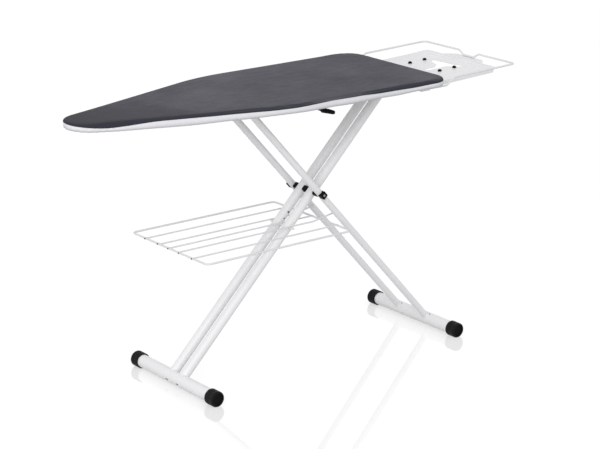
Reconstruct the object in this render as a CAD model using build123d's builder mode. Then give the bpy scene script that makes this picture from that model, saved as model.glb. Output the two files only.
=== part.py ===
"""Ironing board: padded table, scissor legs, wire shelf, release lever and iron rest.

Millimetres, +Z up. X runs along the table from the nose (-X) to the iron rest (+X),
and the plane Y = 0 is the plane of symmetry. The origin lies on the floor.
"""
import math
import os

from build123d import *

os.makedirs("parts", exist_ok=True)

# Table
TABLE_LENGTH = 1208.0
TABLE_WIDTH = 484.0
TABLE_HEIGHT = 865.0
NOSE_RADIUS = 72.0
TAPER_ANGLE = 17.4
SHOULDER_RADIUS = 600.0
TAIL_RADIUS = 66.0
COVER_THICKNESS = 2.2
PAD_THICKNESS = 7.8
PAD_CLEARANCE = 0.3
COVER_EDGE_ROUND = 6.5
COVER_SIDE = 8.5
SKIRT_THICKNESS = 1.5
SKIRT_HEIGHT = 17.0
SKIRT_ROUND = 1.3
HEM_WIDTH = 20.0
RIM_CLEARANCE = 1.5
RIM_WIDTH = 16.0
RIM_HEIGHT = 12.0
SHEET = 1.2
DECK_THICKNESS = 1.0
MESH_PITCH_X = 80.0
MESH_PITCH_Y = 44.0
MESH_STRAND = 11.0
MESH_BORDER = 26.0

# Legs and feet
HINGE_INSET = 66.0
HINGE_DROP = 38.0
LEG_A_ANGLE = 45.4
LEG_B_ANGLE = 48.0
FEET_SPREAD = 940.5
LEG_A_DIAMETER = 30.0
LEG_A_SPACING = 50.0
LEG_B_DIAMETER = 21.0
LEG_B_SPACING = 135.0
TUBE_WALL = 1.2
FOOT_DIAMETER = 40.0
FOOT_LENGTH = 424.0
CAP_DIAMETER = 48.0
CAP_LENGTH = 35.0
CAP_END = 6.0
CAP_FLAT = 1.0
CAP_ROUND = 3.0
HEAD_DIAMETER = 22.0
HINGE_PIN_DIAMETER = 10.0
HINGE_PIN_HEAD = 16.0
HINGE_PIN_HEAD_HEIGHT = 3.0
EAR_SHEET = 2.5
EAR_FOOT = 70.0
EAR_EYE = 14.0
EAR_CLEARANCE = 2.0
CROSSBAR_DIAMETER = 16.0
CROSSBAR_OVERHANG = 6.0
PLUG_LENGTH = 14.0
PLUG_HEAD = 4.0
BOLT_DIAMETER = 6.0
BOLT_HEAD_DIAMETER = 9.0
BOLT_HEAD_HEIGHT = 4.0
BOLT_ROUND = 1.5
BLOCK_SIZE = (18.0, 16.0)
SADDLE_SIZE = (14.0, 20.0)
PIVOT_CAP_SIZE = (21.0, 20.0)
PIVOT_CAP_HEIGHT = 9.0
PIVOT_CAP_ROUND = 2.0
PIVOT_CORNER = 4.0
RUNNING_CLEARANCE = 0.05
JOINT_CLEARANCE = 0.1
SIDE_CLEARANCE = 0.5

# Wire shelf
SHELF_LENGTH = 530.0
SHELF_WIDTH = 384.0
SHELF_DROP = 88.5
SHELF_OVERLAP = 20.0
SHELF_CORNER = 14.0
FRAME_WIRE = 6.0
SHELF_WIRE = 4.6
HOOK_SPACING = 97.0
OUTER_WIRE_SPACING = 240.0
HOOK_DROP = 75.0
HOOK_REACH = 5.0
HOOK_BEND = 6.0
SHELF_ROD_DIAMETER = 8.0
SHELF_REST_CLEARANCE = 0.3

# Slotted rack and release lever
FOLDED_BAR_TRAVEL = 257.0
RACK_SPACING = 44.0
RACK_SHEET = 2.5
RACK_FLANGE = 18.0
RACK_LEDGE = 7.0
SLOT_CLEARANCE = 1.4
SLOT_LIFT = 3.0
RACK_END = 26.0
NOTCH_COUNT = 6
NOTCH_PITCH = 30.0
NOTCH_DEPTH = 7.0
NOTCH_SLOPE = 16.0
LEVER_AHEAD = 193.0
LEVER_DROP = 49.5
LEVER_PIVOT_Y = -120.0
LEVER_ROD_DIAMETER = 5.0
LEVER_HUB_DIAMETER = 16.0
LEVER_HUB_WIDTH = 14.0
LEVER_PIN_DIAMETER = 6.0
LEVER_PIN_HEAD = 9.6
LEVER_PIN_HEAD_HEIGHT = 2.0
LEVER_EAR_SHEET = 2.0
LEVER_EAR_WIDTH = 22.0
ROD_OVERHANG = 4.0
GRIP_START_Y = -169.0
GRIP_YAW = 19.0
GRIP_LENGTH = 47.0
GRIP_NECK = 10.0
GRIP_WIDTH = 13.0
GRIP_WIDEST = 9.0
GRIP_TIP = 11.0
GRIP_HEIGHT = 7.5
GRIP_ROUND = 1.6
GRIP_TIP_ROUND = 4.0
GRIP_INSERT = 9.0
LOCK_BAR_THICKNESS = 8.0
LOCK_BAR_HEIGHT = 7.0
LOCK_TOOTH = 3.5
LOCK_CLEARANCE = 3.5

# Iron rest
REST_REACH = 293.0
REST_WIRE = 6.0
REST_RAIL_DROP = 3.0
REST_RAIL_FALL = 7.5
REST_ROD_DROP = 32.0
REST_ROD_END = 5.0
REST_BEND = 14.0
REST_RISE_START = 6.0
REST_RISE_END = 36.0
DIP_TOP = 90.0
DIP_BOTTOM = 48.0
DIP_BEND = 8.0
TRAY_WIDTH = 330.0
TRAY_SHEET = 1.6
TRAY_DROP = 31.0
TRAY_TILT = 2.4
TRAY_INSET = 55.0
TRAY_NECK = 280.0
TRAY_RELIEF = 12.0
TRAY_REACH = 262.0
TRAY_BEND_REACH = 8.0
TRAY_SHOULDER = ((-6.0, TRAY_NECK / 2), (16.0, TRAY_WIDTH / 2))
TRAY_CORNER_ROUND = 16.0
TRAY_FLANGE = 12.0
FLANGE_START = 24.0
FLANGE_END = 245.0
FLANGE_SLANT = 4.0
OPENING_TAIL_EDGE = ((166, 40), (188, 58), (192, -40), (206, -70))
OPENING_NEAR_LOBE = ((184, -70), (158, -38), (84, -38))
OPENING_FAR_LOBE = ((84, -16), (128, -18), (152, 0))
OPENING_ROUND = 5.0
TONGUE_ROOT = 188.0
TONGUE_WIDTH = 124.0
TONGUE_ROUND = 10.0
BEAD_HEIGHT = 2.0
BEAD_WIDTH = 12.0
BEAD_REACHES = (214.0, 237.0)
BEAD_PROFILE = ((0.0, 0), (0.25, 1), (0.75, 1), (1.0, 0))
BUMPER_DIAMETER = 11.0
BUMPER_HEIGHT = 4.0
BUMPER_TAPER = 14.0
BUMPER_NEAR_X = 103.0
BUMPER_PITCH_X = 61.0
BUMPER_PITCH_Y = 140.0
CLAMP_LENGTH = 30.0
CLAMP_WIDTH = 15.0
CLAMP_FLOOR = 1.5
CLAMP_CLEARANCE = 3.5
BRACKET_SPACING = 180.0
BRACKET_WIDTH = 30.0
BRACKET_SHEET = 2.0
BRACKET_STEP = 2.0
BRACKET_UPPER = 22.0
BRACKET_LOWER = 24.0

# Places worked out from the sizes
NOSE_X = -(TABLE_LENGTH + REST_REACH) / 2
TAIL_X = NOSE_X + TABLE_LENGTH
COVER_UNDER = TABLE_HEIGHT - COVER_THICKNESS
DECK_TOP = COVER_UNDER - PAD_THICKNESS
DECK_UNDER = DECK_TOP - DECK_THICKNESS
SEAM_Z = TABLE_HEIGHT - COVER_SIDE
SKIRT_LOW = SEAM_Z - SKIRT_HEIGHT
RIM_INSET = SKIRT_THICKNESS + RIM_CLEARANCE
HINGE_X = TAIL_X - HINGE_INSET
HINGE_Z = TABLE_HEIGHT - HINGE_DROP
FOOT_Z = CAP_DIAMETER / 2 - CAP_FLAT
LEG_RISE = HINGE_Z - FOOT_Z
RUN_A = 1 / math.tan(math.radians(LEG_A_ANGLE))
RUN_B = 1 / math.tan(math.radians(LEG_B_ANGLE))
FOOT_A_X = HINGE_X - LEG_RISE * RUN_A
FOOT_B_X = FOOT_A_X + FEET_SPREAD
BAR_X = FOOT_B_X - LEG_RISE * RUN_B
CROSS_RISE = FEET_SPREAD / (RUN_A + RUN_B)
CROSS_X = FOOT_A_X + CROSS_RISE * RUN_A
CROSS_Z = FOOT_Z + CROSS_RISE
LEG_A_Y = LEG_A_SPACING / 2
LEG_B_Y = LEG_B_SPACING / 2
LEG_A_OUTER = LEG_A_Y + LEG_A_DIAMETER / 2
LEG_B_INNER = LEG_B_Y - LEG_B_DIAMETER / 2
LEG_B_OUTER = LEG_B_Y + LEG_B_DIAMETER / 2
LEG_A_UP = (RUN_A, 0, 1)
LEG_B_UP = (-RUN_B, 0, 1)

EAR_Y = LEG_A_OUTER + HEAD_DIAMETER / 2 + EAR_CLEARANCE

SHELF_Z = CROSS_Z - SHELF_DROP
SHELF_RIGHT = CROSS_X + SHELF_OVERLAP
SHELF_LEFT = SHELF_RIGHT - SHELF_LENGTH
SHELF_ROD_Z = SHELF_Z - (SHELF_WIRE + SHELF_ROD_DIAMETER) / 2 - SHELF_REST_CLEARANCE
SHELF_ROD_X = CROSS_X - (CROSS_Z - SHELF_ROD_Z) * RUN_A
HOOK_X = CROSS_X + HOOK_DROP * RUN_B
HOOK_Z = CROSS_Z - HOOK_DROP
HOOK_Y = HOOK_SPACING / 2
HOOK_PASS = (FRAME_WIRE + SHELF_WIRE) / 2 + JOINT_CLEARANCE
HOOK_RUN = HOOK_X - SHELF_RIGHT
HOOK_RISE = HOOK_Z - SHELF_Z
HOOK_SLOPE = math.atan2(HOOK_RISE, HOOK_RUN) - math.asin(HOOK_PASS / math.hypot(HOOK_RISE, HOOK_RUN))
HOOK_RISE_X = HOOK_X - HOOK_RISE / math.tan(HOOK_SLOPE)
SHELF_ROD_LENGTH = 2 * (LEG_B_INNER - 3 * SIDE_CLEARANCE)

BAR_HALF = LEG_B_OUTER + CROSSBAR_OVERHANG
SLOT_LOW_Z = HINGE_Z - CROSSBAR_DIAMETER / 2 - SLOT_CLEARANCE
SLOT_HIGH_Z = HINGE_Z + CROSSBAR_DIAMETER / 2 + SLOT_LIFT
SLOT_LOW_X = BAR_X - FOLDED_BAR_TRAVEL - CROSSBAR_DIAMETER / 2 - SLOT_CLEARANCE
SLOT_HIGH_X = BAR_X + CROSSBAR_DIAMETER / 2 + SLOT_CLEARANCE
LEVER_X = BAR_X + LEVER_AHEAD
LEVER_Z = TABLE_HEIGHT - LEVER_DROP
LOCK_TOP = HINGE_Z - CROSSBAR_DIAMETER / 2 - LOCK_CLEARANCE

TRAY_Z = TABLE_HEIGHT - TRAY_DROP
TRAY_BEND_X = TAIL_X + TRAY_BEND_REACH
TRAY_SLOPE = math.tan(math.radians(TRAY_TILT))
REST_RAIL_X = TAIL_X + REST_REACH - REST_WIRE / 2
REST_RAIL_Y = TABLE_WIDTH / 2 - HEM_WIDTH - CLAMP_CLEARANCE - CLAMP_WIDTH / 2
CLAMP_X = TAIL_X - TAIL_RADIUS - CLAMP_CLEARANCE - CLAMP_LENGTH / 2
REST_RAIL_Z = TABLE_HEIGHT - REST_RAIL_DROP
REST_ROD_Z = TABLE_HEIGHT - REST_ROD_DROP


def tray_top(x):
    """Height of the tray's upper face at x, beyond its bend."""
    return TRAY_Z + max(0.0, x - TRAY_BEND_X) * TRAY_SLOPE


DIP_Z = tray_top(REST_RAIL_X) + REST_WIRE / 2 + JOINT_CLEARANCE


def save(piece, name):
    """Label a finished piece and write its STEP file."""
    piece.part.label = name
    export_step(piece.part, f"parts/{name}.step")


def half_width(x, inset):
    """Half width at x of the table plan drawn in by inset."""
    angle = math.radians(TAPER_ANGLE)
    nose = NOSE_RADIUS - inset
    nose_x = NOSE_X + NOSE_RADIUS
    side = TABLE_WIDTH / 2 - inset
    tail = TAIL_RADIUS - inset
    tail_start = TAIL_X - TAIL_RADIUS
    if abs(x - nose_x) < nose and x < nose_x - nose * math.sin(angle):
        return math.sqrt(nose**2 - (x - nose_x) ** 2)
    if x > tail_start:
        return side - tail + math.sqrt(max(0.0, tail**2 - (x - tail_start) ** 2))
    taper = nose / math.cos(angle) + (x - nose_x) * math.tan(angle)
    return min(side, taper) if x > nose_x - nose else 0.0


def table_plan(inset):
    """Plan of the table drawn in by inset: round nose, tapered sides and round tail corners."""
    angle = math.radians(TAPER_ANGLE)
    nose = NOSE_RADIUS - inset
    nose_x = NOSE_X + NOSE_RADIUS
    side = TABLE_WIDTH / 2 - inset
    shoulder = SHOULDER_RADIUS - inset
    tail = TAIL_RADIUS - inset
    taper_start = (nose_x - nose * math.sin(angle), nose * math.cos(angle))
    corner_x = taper_start[0] + (side - taper_start[1]) / math.tan(angle)
    tangent = shoulder * math.tan(angle / 2)
    taper_end = (corner_x - tangent * math.cos(angle), side - tangent * math.sin(angle))
    tail_x = TAIL_X - inset
    with BuildSketch(mode=Mode.PRIVATE) as plan:
        with BuildLine():
            CenterArc((nose_x, 0), nose, 180, TAPER_ANGLE - 90)
            Line(taper_start, taper_end)
            CenterArc((corner_x + tangent, side - shoulder), shoulder, 90 + TAPER_ANGLE, -TAPER_ANGLE)
            Line((corner_x + tangent, side), (tail_x - tail, side))
            CenterArc((tail_x - tail, side - tail), tail, 90, -90)
            Line((tail_x, side - tail), (tail_x, 0))
            mirror(about=Plane.XZ)
        make_face()
    return plan.sketch


def slab(inset, low, high, edge_round):
    """A padded slab of the table plan with a rolled upper edge."""
    with BuildPart(mode=Mode.PRIVATE) as body:
        with BuildSketch(Plane.XY.offset(low)):
            add(table_plan(inset))
        extrude(amount=high - low)
        fillet(body.faces().sort_by(Axis.Z)[-1].edges(), radius=edge_round)
    return body.part


def ring(outer, inner, low, high):
    """A band of the table plan between two insets, added to the part in hand."""
    with BuildSketch(Plane.XY.offset(low)) as band:
        add(table_plan(outer))
        add(table_plan(inner), mode=Mode.SUBTRACT)
    extrude(band.sketch, amount=high - low)


def y_rod(x, z, radius, low, high, mode=Mode.ADD):
    """A round bar along Y from low to high, at x and z."""
    with BuildSketch(Plane.XZ.offset(-(low + high) / 2)) as section:
        with Locations((x, z)):
            Circle(radius)
    extrude(section.sketch, amount=(high - low) / 2, both=True, mode=mode)


def x_rod(y, z, radius, low, high, mode=Mode.ADD):
    """A round bar along X from low to high, at y and z."""
    with BuildSketch(Plane.YZ.offset((low + high) / 2)) as section:
        with Locations((y, z)):
            Circle(radius)
    extrude(section.sketch, amount=(high - low) / 2, both=True, mode=mode)


def block(low, high):
    """A box between two opposite corners."""
    with BuildSketch(Plane.XY.offset(low[2])) as base:
        with Locations(((low[0] + high[0]) / 2, (low[1] + high[1]) / 2)):
            Rectangle(high[0] - low[0], high[1] - low[1])
    extrude(base.sketch, amount=high[2] - low[2])


# Table: pressed rim, open mesh deck, foam pad, cover and its skirt
with BuildPart() as deck_frame:
    ring(RIM_INSET, RIM_INSET + RIM_WIDTH, DECK_UNDER - RIM_HEIGHT, DECK_UNDER)
    with BuildSketch(Plane.XY.offset(DECK_UNDER - RIM_HEIGHT)):
        add(table_plan(RIM_INSET + SHEET))
        add(table_plan(RIM_INSET + RIM_WIDTH - SHEET), mode=Mode.SUBTRACT)
    extrude(amount=RIM_HEIGHT - SHEET, mode=Mode.SUBTRACT)
save(deck_frame, "deck_frame")


def mesh_places():
    """Centres of the diamond openings, in two staggered grids inside the rim."""
    rows = int(TABLE_WIDTH / MESH_PITCH_Y) + 1
    columns = int(TABLE_LENGTH / MESH_PITCH_X) + 1
    places = []
    for column in range(2 * columns):
        x = NOSE_X + MESH_BORDER + column * MESH_PITCH_X / 2
        for row in range(-rows, rows + 1):
            y = (row + (column % 2) / 2) * MESH_PITCH_Y
            ends = (x - MESH_PITCH_X / 2, x + MESH_PITCH_X / 2)
            room = min(half_width(end, RIM_INSET) for end in ends) - MESH_BORDER
            if abs(y) + MESH_PITCH_Y / 2 < room and ends[1] < TAIL_X - MESH_BORDER:
                places.append((x, y))
    return places


with BuildPart() as deck_mesh:
    with BuildSketch(Plane.XY.offset(DECK_UNDER)):
        add(table_plan(RIM_INSET))
        with Locations(*mesh_places()):
            half_x = MESH_PITCH_X / 2 - MESH_STRAND / 2
            half_y = MESH_PITCH_Y / 2 - MESH_STRAND / 2
            Polygon((half_x, 0), (0, half_y), (-half_x, 0), (0, -half_y), mode=Mode.SUBTRACT)
    extrude(amount=DECK_THICKNESS)
save(deck_mesh, "deck_mesh")

with BuildPart() as foam_pad:
    add(slab(COVER_THICKNESS + PAD_CLEARANCE, DECK_TOP, COVER_UNDER, COVER_EDGE_ROUND - COVER_THICKNESS))
save(foam_pad, "foam_pad")

with BuildPart() as cover_top:
    add(slab(0, SEAM_Z, TABLE_HEIGHT, COVER_EDGE_ROUND))
    add(
        slab(COVER_THICKNESS, SEAM_Z, COVER_UNDER, COVER_EDGE_ROUND - COVER_THICKNESS),
        mode=Mode.SUBTRACT,
    )
save(cover_top, "cover_top")

with BuildPart() as cover_skirt:
    ring(0, HEM_WIDTH, SKIRT_LOW, SKIRT_LOW + SKIRT_THICKNESS)
    ring(0, SKIRT_THICKNESS, SKIRT_LOW + SKIRT_THICKNESS, SEAM_Z)
    fillet(cover_skirt.faces().sort_by(Axis.Z)[0].outer_wire().edges(), radius=SKIRT_ROUND)
save(cover_skirt, "cover_skirt")


# Hinge of leg A under the deck
def ear(x, z, y, top):
    """A bracket ear at y that narrows from its base down to a round eye about the pin."""
    corners = ((x - EAR_EYE, z), (x + EAR_EYE, z), (x + EAR_FOOT / 2, top), (x - EAR_FOOT / 2, top))
    with BuildSketch(Plane.XZ.offset(-y)) as outline:
        with Locations((x, z)):
            Circle(EAR_EYE)
        Polygon(*corners, align=None)
    extrude(outline.sketch, amount=EAR_SHEET / 2, both=True)


with BuildPart() as hinge_bracket:
    ear(HINGE_X, HINGE_Z, EAR_Y, DECK_UNDER)
    ear(HINGE_X, HINGE_Z, -EAR_Y, DECK_UNDER)
    half_plate = EAR_Y + EAR_SHEET / 2
    block(
        (HINGE_X - EAR_FOOT / 2, -half_plate, DECK_UNDER - EAR_SHEET),
        (HINGE_X + EAR_FOOT / 2, half_plate, DECK_UNDER),
    )
    y_rod(HINGE_X, HINGE_Z, HINGE_PIN_DIAMETER / 2 + JOINT_CLEARANCE, -2 * EAR_Y, 2 * EAR_Y, Mode.SUBTRACT)
save(hinge_bracket, "hinge_bracket")

with BuildPart() as hinge_pin:
    pin_end = EAR_Y + EAR_SHEET / 2 + JOINT_CLEARANCE
    y_rod(HINGE_X, HINGE_Z, HINGE_PIN_DIAMETER / 2, -pin_end, pin_end)
    for side in (-1, 1):
        ends = sorted((side * pin_end, side * (pin_end + HINGE_PIN_HEAD_HEIGHT)))
        y_rod(HINGE_X, HINGE_Z, HINGE_PIN_HEAD / 2, *ends)
save(hinge_pin, "hinge_pin")


# Rack under the deck: two plates whose long slot carries the top bar of leg B
def rack_plate(side, name):
    """One rack plate: a slot along X with ratchet notches above it, and a flange under the deck."""
    low_x = SLOT_LOW_X - RACK_END
    high_x = SLOT_HIGH_X + RACK_END
    low_z = SLOT_LOW_Z - RACK_LEDGE
    inner_y = side * (RACK_SPACING - RACK_SHEET) / 2
    outer_y = side * (RACK_SPACING / 2 + RACK_FLANGE)
    with BuildPart() as plate:
        with BuildSketch(Plane.XZ.offset(-side * RACK_SPACING / 2)) as outline:
            with BuildLine():
                Polyline(
                    (low_x, DECK_UNDER),
                    (high_x, DECK_UNDER),
                    (high_x, SLOT_HIGH_Z),
                    (SLOT_HIGH_X, low_z),
                    (SLOT_LOW_X, low_z),
                    (low_x, SLOT_HIGH_Z),
                    close=True,
                )
            make_face()
            with BuildLine():
                Polyline(
                    (SLOT_LOW_X, SLOT_LOW_Z),
                    (SLOT_HIGH_X, SLOT_LOW_Z),
                    (SLOT_HIGH_X, SLOT_HIGH_Z),
                    (SLOT_LOW_X, SLOT_HIGH_Z),
                    close=True,
                )
            make_face(mode=Mode.SUBTRACT)
            for notch in range(NOTCH_COUNT):
                wall = BAR_X - CROSSBAR_DIAMETER / 2 - notch * NOTCH_PITCH
                with BuildLine():
                    Polyline(
                        (wall, SLOT_HIGH_Z),
                        (wall, SLOT_HIGH_Z + NOTCH_DEPTH),
                        (wall + NOTCH_SLOPE, SLOT_HIGH_Z),
                        close=True,
                    )
                make_face(mode=Mode.SUBTRACT)
        extrude(outline.sketch, amount=RACK_SHEET / 2, both=True)
        near_y, far_y = sorted((inner_y, outer_y))
        block((low_x, near_y, DECK_UNDER - RACK_SHEET), (high_x, far_y, DECK_UNDER))
    save(plate, name)


rack_plate(-1, "rack_plate_near")
rack_plate(1, "rack_plate_far")


# Release lever: bracket and pin on the deck; rod, lock bar and grip that swing together
LEVER_EAR_X = LEVER_HUB_WIDTH / 2 + SIDE_CLEARANCE + LEVER_EAR_SHEET / 2
with BuildPart() as lever_bracket:
    for side in (-1, 1):
        with BuildSketch(Plane.YZ.offset(LEVER_X + side * LEVER_EAR_X)):
            with Locations((LEVER_PIVOT_Y, LEVER_Z)):
                Circle(LEVER_EAR_WIDTH / 2)
            with Locations((LEVER_PIVOT_Y, (LEVER_Z + DECK_UNDER) / 2)):
                Rectangle(LEVER_EAR_WIDTH, DECK_UNDER - LEVER_Z)
            with Locations((LEVER_PIVOT_Y, LEVER_Z)):
                Circle(LEVER_PIN_DIAMETER / 2 + JOINT_CLEARANCE, mode=Mode.SUBTRACT)
        extrude(amount=LEVER_EAR_SHEET / 2, both=True)
    base_x = LEVER_EAR_X + LEVER_EAR_SHEET / 2
    block(
        (LEVER_X - base_x, LEVER_PIVOT_Y - LEVER_EAR_WIDTH / 2, DECK_UNDER - LEVER_EAR_SHEET),
        (LEVER_X + base_x, LEVER_PIVOT_Y + LEVER_EAR_WIDTH / 2, DECK_UNDER),
    )
save(lever_bracket, "lever_bracket")

with BuildPart() as lever_pin:
    lever_pin_end = base_x + JOINT_CLEARANCE
    x_rod(LEVER_PIVOT_Y, LEVER_Z, LEVER_PIN_DIAMETER / 2, LEVER_X - lever_pin_end, LEVER_X + lever_pin_end)
    for side in (-1, 1):
        head_end = lever_pin_end + LEVER_PIN_HEAD_HEIGHT
        ends = sorted((LEVER_X + side * lever_pin_end, LEVER_X + side * head_end))
        x_rod(LEVER_PIVOT_Y, LEVER_Z, LEVER_PIN_HEAD / 2, *ends)
save(lever_pin, "lever_pin")

ROD_END_Y = GRIP_START_Y - GRIP_INSERT
ROD_INNER_Y = LOCK_BAR_THICKNESS / 2 + ROD_OVERHANG
with BuildPart() as release_rod:
    y_rod(LEVER_X, LEVER_Z, LEVER_ROD_DIAMETER / 2, ROD_END_Y, ROD_INNER_Y)
    hub_half = LEVER_HUB_WIDTH / 2
    x_rod(LEVER_PIVOT_Y, LEVER_Z, LEVER_HUB_DIAMETER / 2, LEVER_X - hub_half, LEVER_X + hub_half)
    pin_hole = LEVER_PIN_DIAMETER / 2 + RUNNING_CLEARANCE
    x_rod(LEVER_PIVOT_Y, LEVER_Z, pin_hole, LEVER_X - hub_half, LEVER_X + hub_half, Mode.SUBTRACT)
save(release_rod, "release_rod")

with BuildPart() as lever_grip:
    yaw = math.radians(GRIP_YAW)
    outward = (math.sin(yaw), -math.cos(yaw), 0)
    with BuildSketch(Plane(origin=(LEVER_X, GRIP_START_Y, LEVER_Z), x_dir=outward)) as paddle:
        half_plan = [(0, GRIP_NECK / 2), (GRIP_WIDEST, GRIP_WIDTH / 2), (GRIP_LENGTH, GRIP_TIP / 2)]
        Polygon(*half_plan, *((along, -half) for along, half in reversed(half_plan)), align=None)
        tip_corners = paddle.vertices().sort_by_distance((LEVER_X, GRIP_START_Y, LEVER_Z))[-2:]
        fillet(tip_corners, radius=GRIP_TIP_ROUND)
    extrude(amount=GRIP_HEIGHT / 2, both=True)
    levels = lever_grip.edges().group_by(Axis.Z)
    fillet(levels[0] + levels[-1], radius=GRIP_ROUND)
    rod_room = LEVER_ROD_DIAMETER / 2 + JOINT_CLEARANCE
    y_rod(LEVER_X, LEVER_Z, rod_room, ROD_END_Y, GRIP_START_Y + GRIP_NECK, Mode.SUBTRACT)
save(lever_grip, "lever_grip")

LOCK_LOW_X = BAR_X - NOTCH_COUNT * NOTCH_PITCH / 2
with BuildPart() as lock_bar:
    with BuildSketch(Plane.XZ):
        low_z = LOCK_TOP - LOCK_TOOTH - LOCK_BAR_HEIGHT
        Polygon(
            (LOCK_LOW_X, low_z),
            (LEVER_X, low_z),
            (LEVER_X, LOCK_TOP - LOCK_TOOTH),
            (LOCK_LOW_X, LOCK_TOP - LOCK_TOOTH),
            align=None,
        )
        for tooth in range(NOTCH_COUNT // 2):
            tip = BAR_X - CROSSBAR_DIAMETER / 2 - tooth * NOTCH_PITCH
            Polygon(
                (tip, LOCK_TOP - LOCK_TOOTH),
                (tip, LOCK_TOP),
                (tip - NOTCH_SLOPE, LOCK_TOP - LOCK_TOOTH),
                align=None,
            )
        with Locations((LEVER_X, (low_z + LEVER_Z) / 2)):
            Rectangle(LEVER_HUB_DIAMETER, LEVER_Z - low_z)
        with Locations((LEVER_X, LEVER_Z)):
            Circle(LEVER_HUB_DIAMETER / 2)
            Circle(LEVER_ROD_DIAMETER / 2 + JOINT_CLEARANCE, mode=Mode.SUBTRACT)
    extrude(amount=LOCK_BAR_THICKNESS / 2, both=True)
save(lock_bar, "lock_bar")


# Iron rest: bent wire rail, sheet tray, silicone bumpers and their fixings
def mirrored(points):
    """A half path from the far side to the middle, and its mirror image back."""
    return points + [(x, -y, z) for x, y, z in reversed(points)]


with BuildPart() as rest_rail:
    half_path = [
        (CLAMP_X - CLAMP_LENGTH / 2 - REST_ROD_END, REST_RAIL_Y, REST_ROD_Z),
        (TAIL_X + REST_RISE_START, REST_RAIL_Y, REST_ROD_Z),
        (TAIL_X + REST_RISE_END, REST_RAIL_Y, REST_RAIL_Z - REST_RAIL_FALL),
        (REST_RAIL_X, REST_RAIL_Y, REST_RAIL_Z),
        (REST_RAIL_X, DIP_TOP / 2, REST_RAIL_Z),
        (REST_RAIL_X, DIP_BOTTOM / 2, DIP_Z),
    ]
    bends = [REST_BEND, REST_BEND, REST_BEND, DIP_BEND, DIP_BEND]
    with BuildLine() as rail_path:
        FilletPolyline(*mirrored(half_path), radius=bends + bends[::-1])
    with BuildSketch(Plane(origin=half_path[0], z_dir=(1, 0, 0))):
        Circle(REST_WIRE / 2)
    sweep(path=rail_path.wires()[0])
save(rest_rail, "rest_rail")


TRAY_TAB = EAR_Y + EAR_SHEET + 4 * SIDE_CLEARANCE


def tray_plan():
    """Plan of the tray: two tabs under the table, straight sides, round tail corners and a broad tongue."""
    tail = TAIL_X + TRAY_REACH
    tip = REST_RAIL_X + REST_WIRE / 2
    with BuildSketch(mode=Mode.PRIVATE) as plan:
        with BuildLine():
            Polyline(
                (TAIL_X - TRAY_RELIEF, 0),
                (TAIL_X - TRAY_RELIEF, TRAY_TAB),
                (TAIL_X - TRAY_INSET, TRAY_TAB),
                (TAIL_X - TRAY_INSET, TRAY_NECK / 2),
                *((TAIL_X + reach, half) for reach, half in TRAY_SHOULDER),
                (tail, TRAY_WIDTH / 2),
                (tail, TONGUE_ROOT / 2),
                (tip, TONGUE_WIDTH / 2),
                (tip, 0),
            )
            mirror(about=Plane.XZ)
        make_face()
        ends = plan.vertices().filter_by(lambda v: v.X > tail - 1)
        fillet(ends.filter_by(lambda v: abs(v.Y) < (TRAY_WIDTH + TONGUE_ROOT) / 4), radius=TONGUE_ROUND)
        fillet(ends.filter_by(lambda v: abs(v.Y) > (TRAY_WIDTH + TONGUE_ROOT) / 4), radius=TRAY_CORNER_ROUND)
    return plan.sketch


def tray_opening():
    """The opening between the two lobes of the tray, with a slot that leads towards the table."""
    outline = OPENING_TAIL_EDGE + OPENING_NEAR_LOBE + OPENING_FAR_LOBE
    with BuildSketch(mode=Mode.PRIVATE) as plan:
        with BuildLine():
            Polyline(*((TAIL_X + reach, y) for reach, y in outline), close=True)
        make_face()
        fillet(plan.vertices(), radius=OPENING_ROUND)
    return plan.sketch


with BuildPart() as rest_tray:
    tail_end = REST_RAIL_X + REST_WIRE
    with BuildSketch(Plane.XZ):
        with BuildLine():
            profile = [(TAIL_X - TRAY_INSET, TRAY_Z), (TRAY_BEND_X, TRAY_Z)]
            for reach in BEAD_REACHES:
                for share, rise in BEAD_PROFILE:
                    x = TAIL_X + reach + share * BEAD_WIDTH
                    profile.append((x, tray_top(x) + rise * BEAD_HEIGHT))
            profile.append((tail_end, tray_top(tail_end)))
            under = [(x, z - TRAY_SHEET) for x, z in reversed(profile)]
            Polyline(*profile, *under, close=True)
        make_face()
    extrude(amount=TRAY_WIDTH / 2, both=True)
    with BuildSketch(Plane.XY.offset(TRAY_Z - TRAY_FLANGE)):
        add(tray_plan())
    extrude(amount=4 * TRAY_FLANGE, mode=Mode.INTERSECT)
    with BuildSketch(Plane.XY.offset(TRAY_Z - TRAY_FLANGE)):
        add(tray_opening())
    extrude(amount=4 * TRAY_FLANGE, mode=Mode.SUBTRACT)
    for side in (-1, 1):
        with BuildSketch(Plane.XZ.offset(-side * (TRAY_WIDTH - TRAY_SHEET) / 2)):
            start = TAIL_X + FLANGE_START
            end = TAIL_X + FLANGE_END
            Polygon(
                (start, tray_top(start) - TRAY_SHEET / 2),
                (end, tray_top(end) - TRAY_SHEET / 2),
                (end - FLANGE_SLANT, tray_top(end) - TRAY_FLANGE),
                (start + FLANGE_SLANT, tray_top(start) - TRAY_FLANGE),
                align=None,
            )
        extrude(amount=TRAY_SHEET / 2, both=True)
save(rest_tray, "rest_tray")

with BuildPart() as rest_bumpers:
    for column in (0, 1):
        for side in (-1, 1):
            x = TAIL_X + BUMPER_NEAR_X + column * BUMPER_PITCH_X
            seat = Plane(
                origin=(x, side * BUMPER_PITCH_Y / 2, tray_top(x)),
                z_dir=(-TRAY_SLOPE, 0, 1),
            )
            with BuildSketch(seat):
                Circle(BUMPER_DIAMETER / 2)
            extrude(amount=BUMPER_HEIGHT, taper=BUMPER_TAPER)
save(rest_bumpers, "rest_bumpers")


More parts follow.
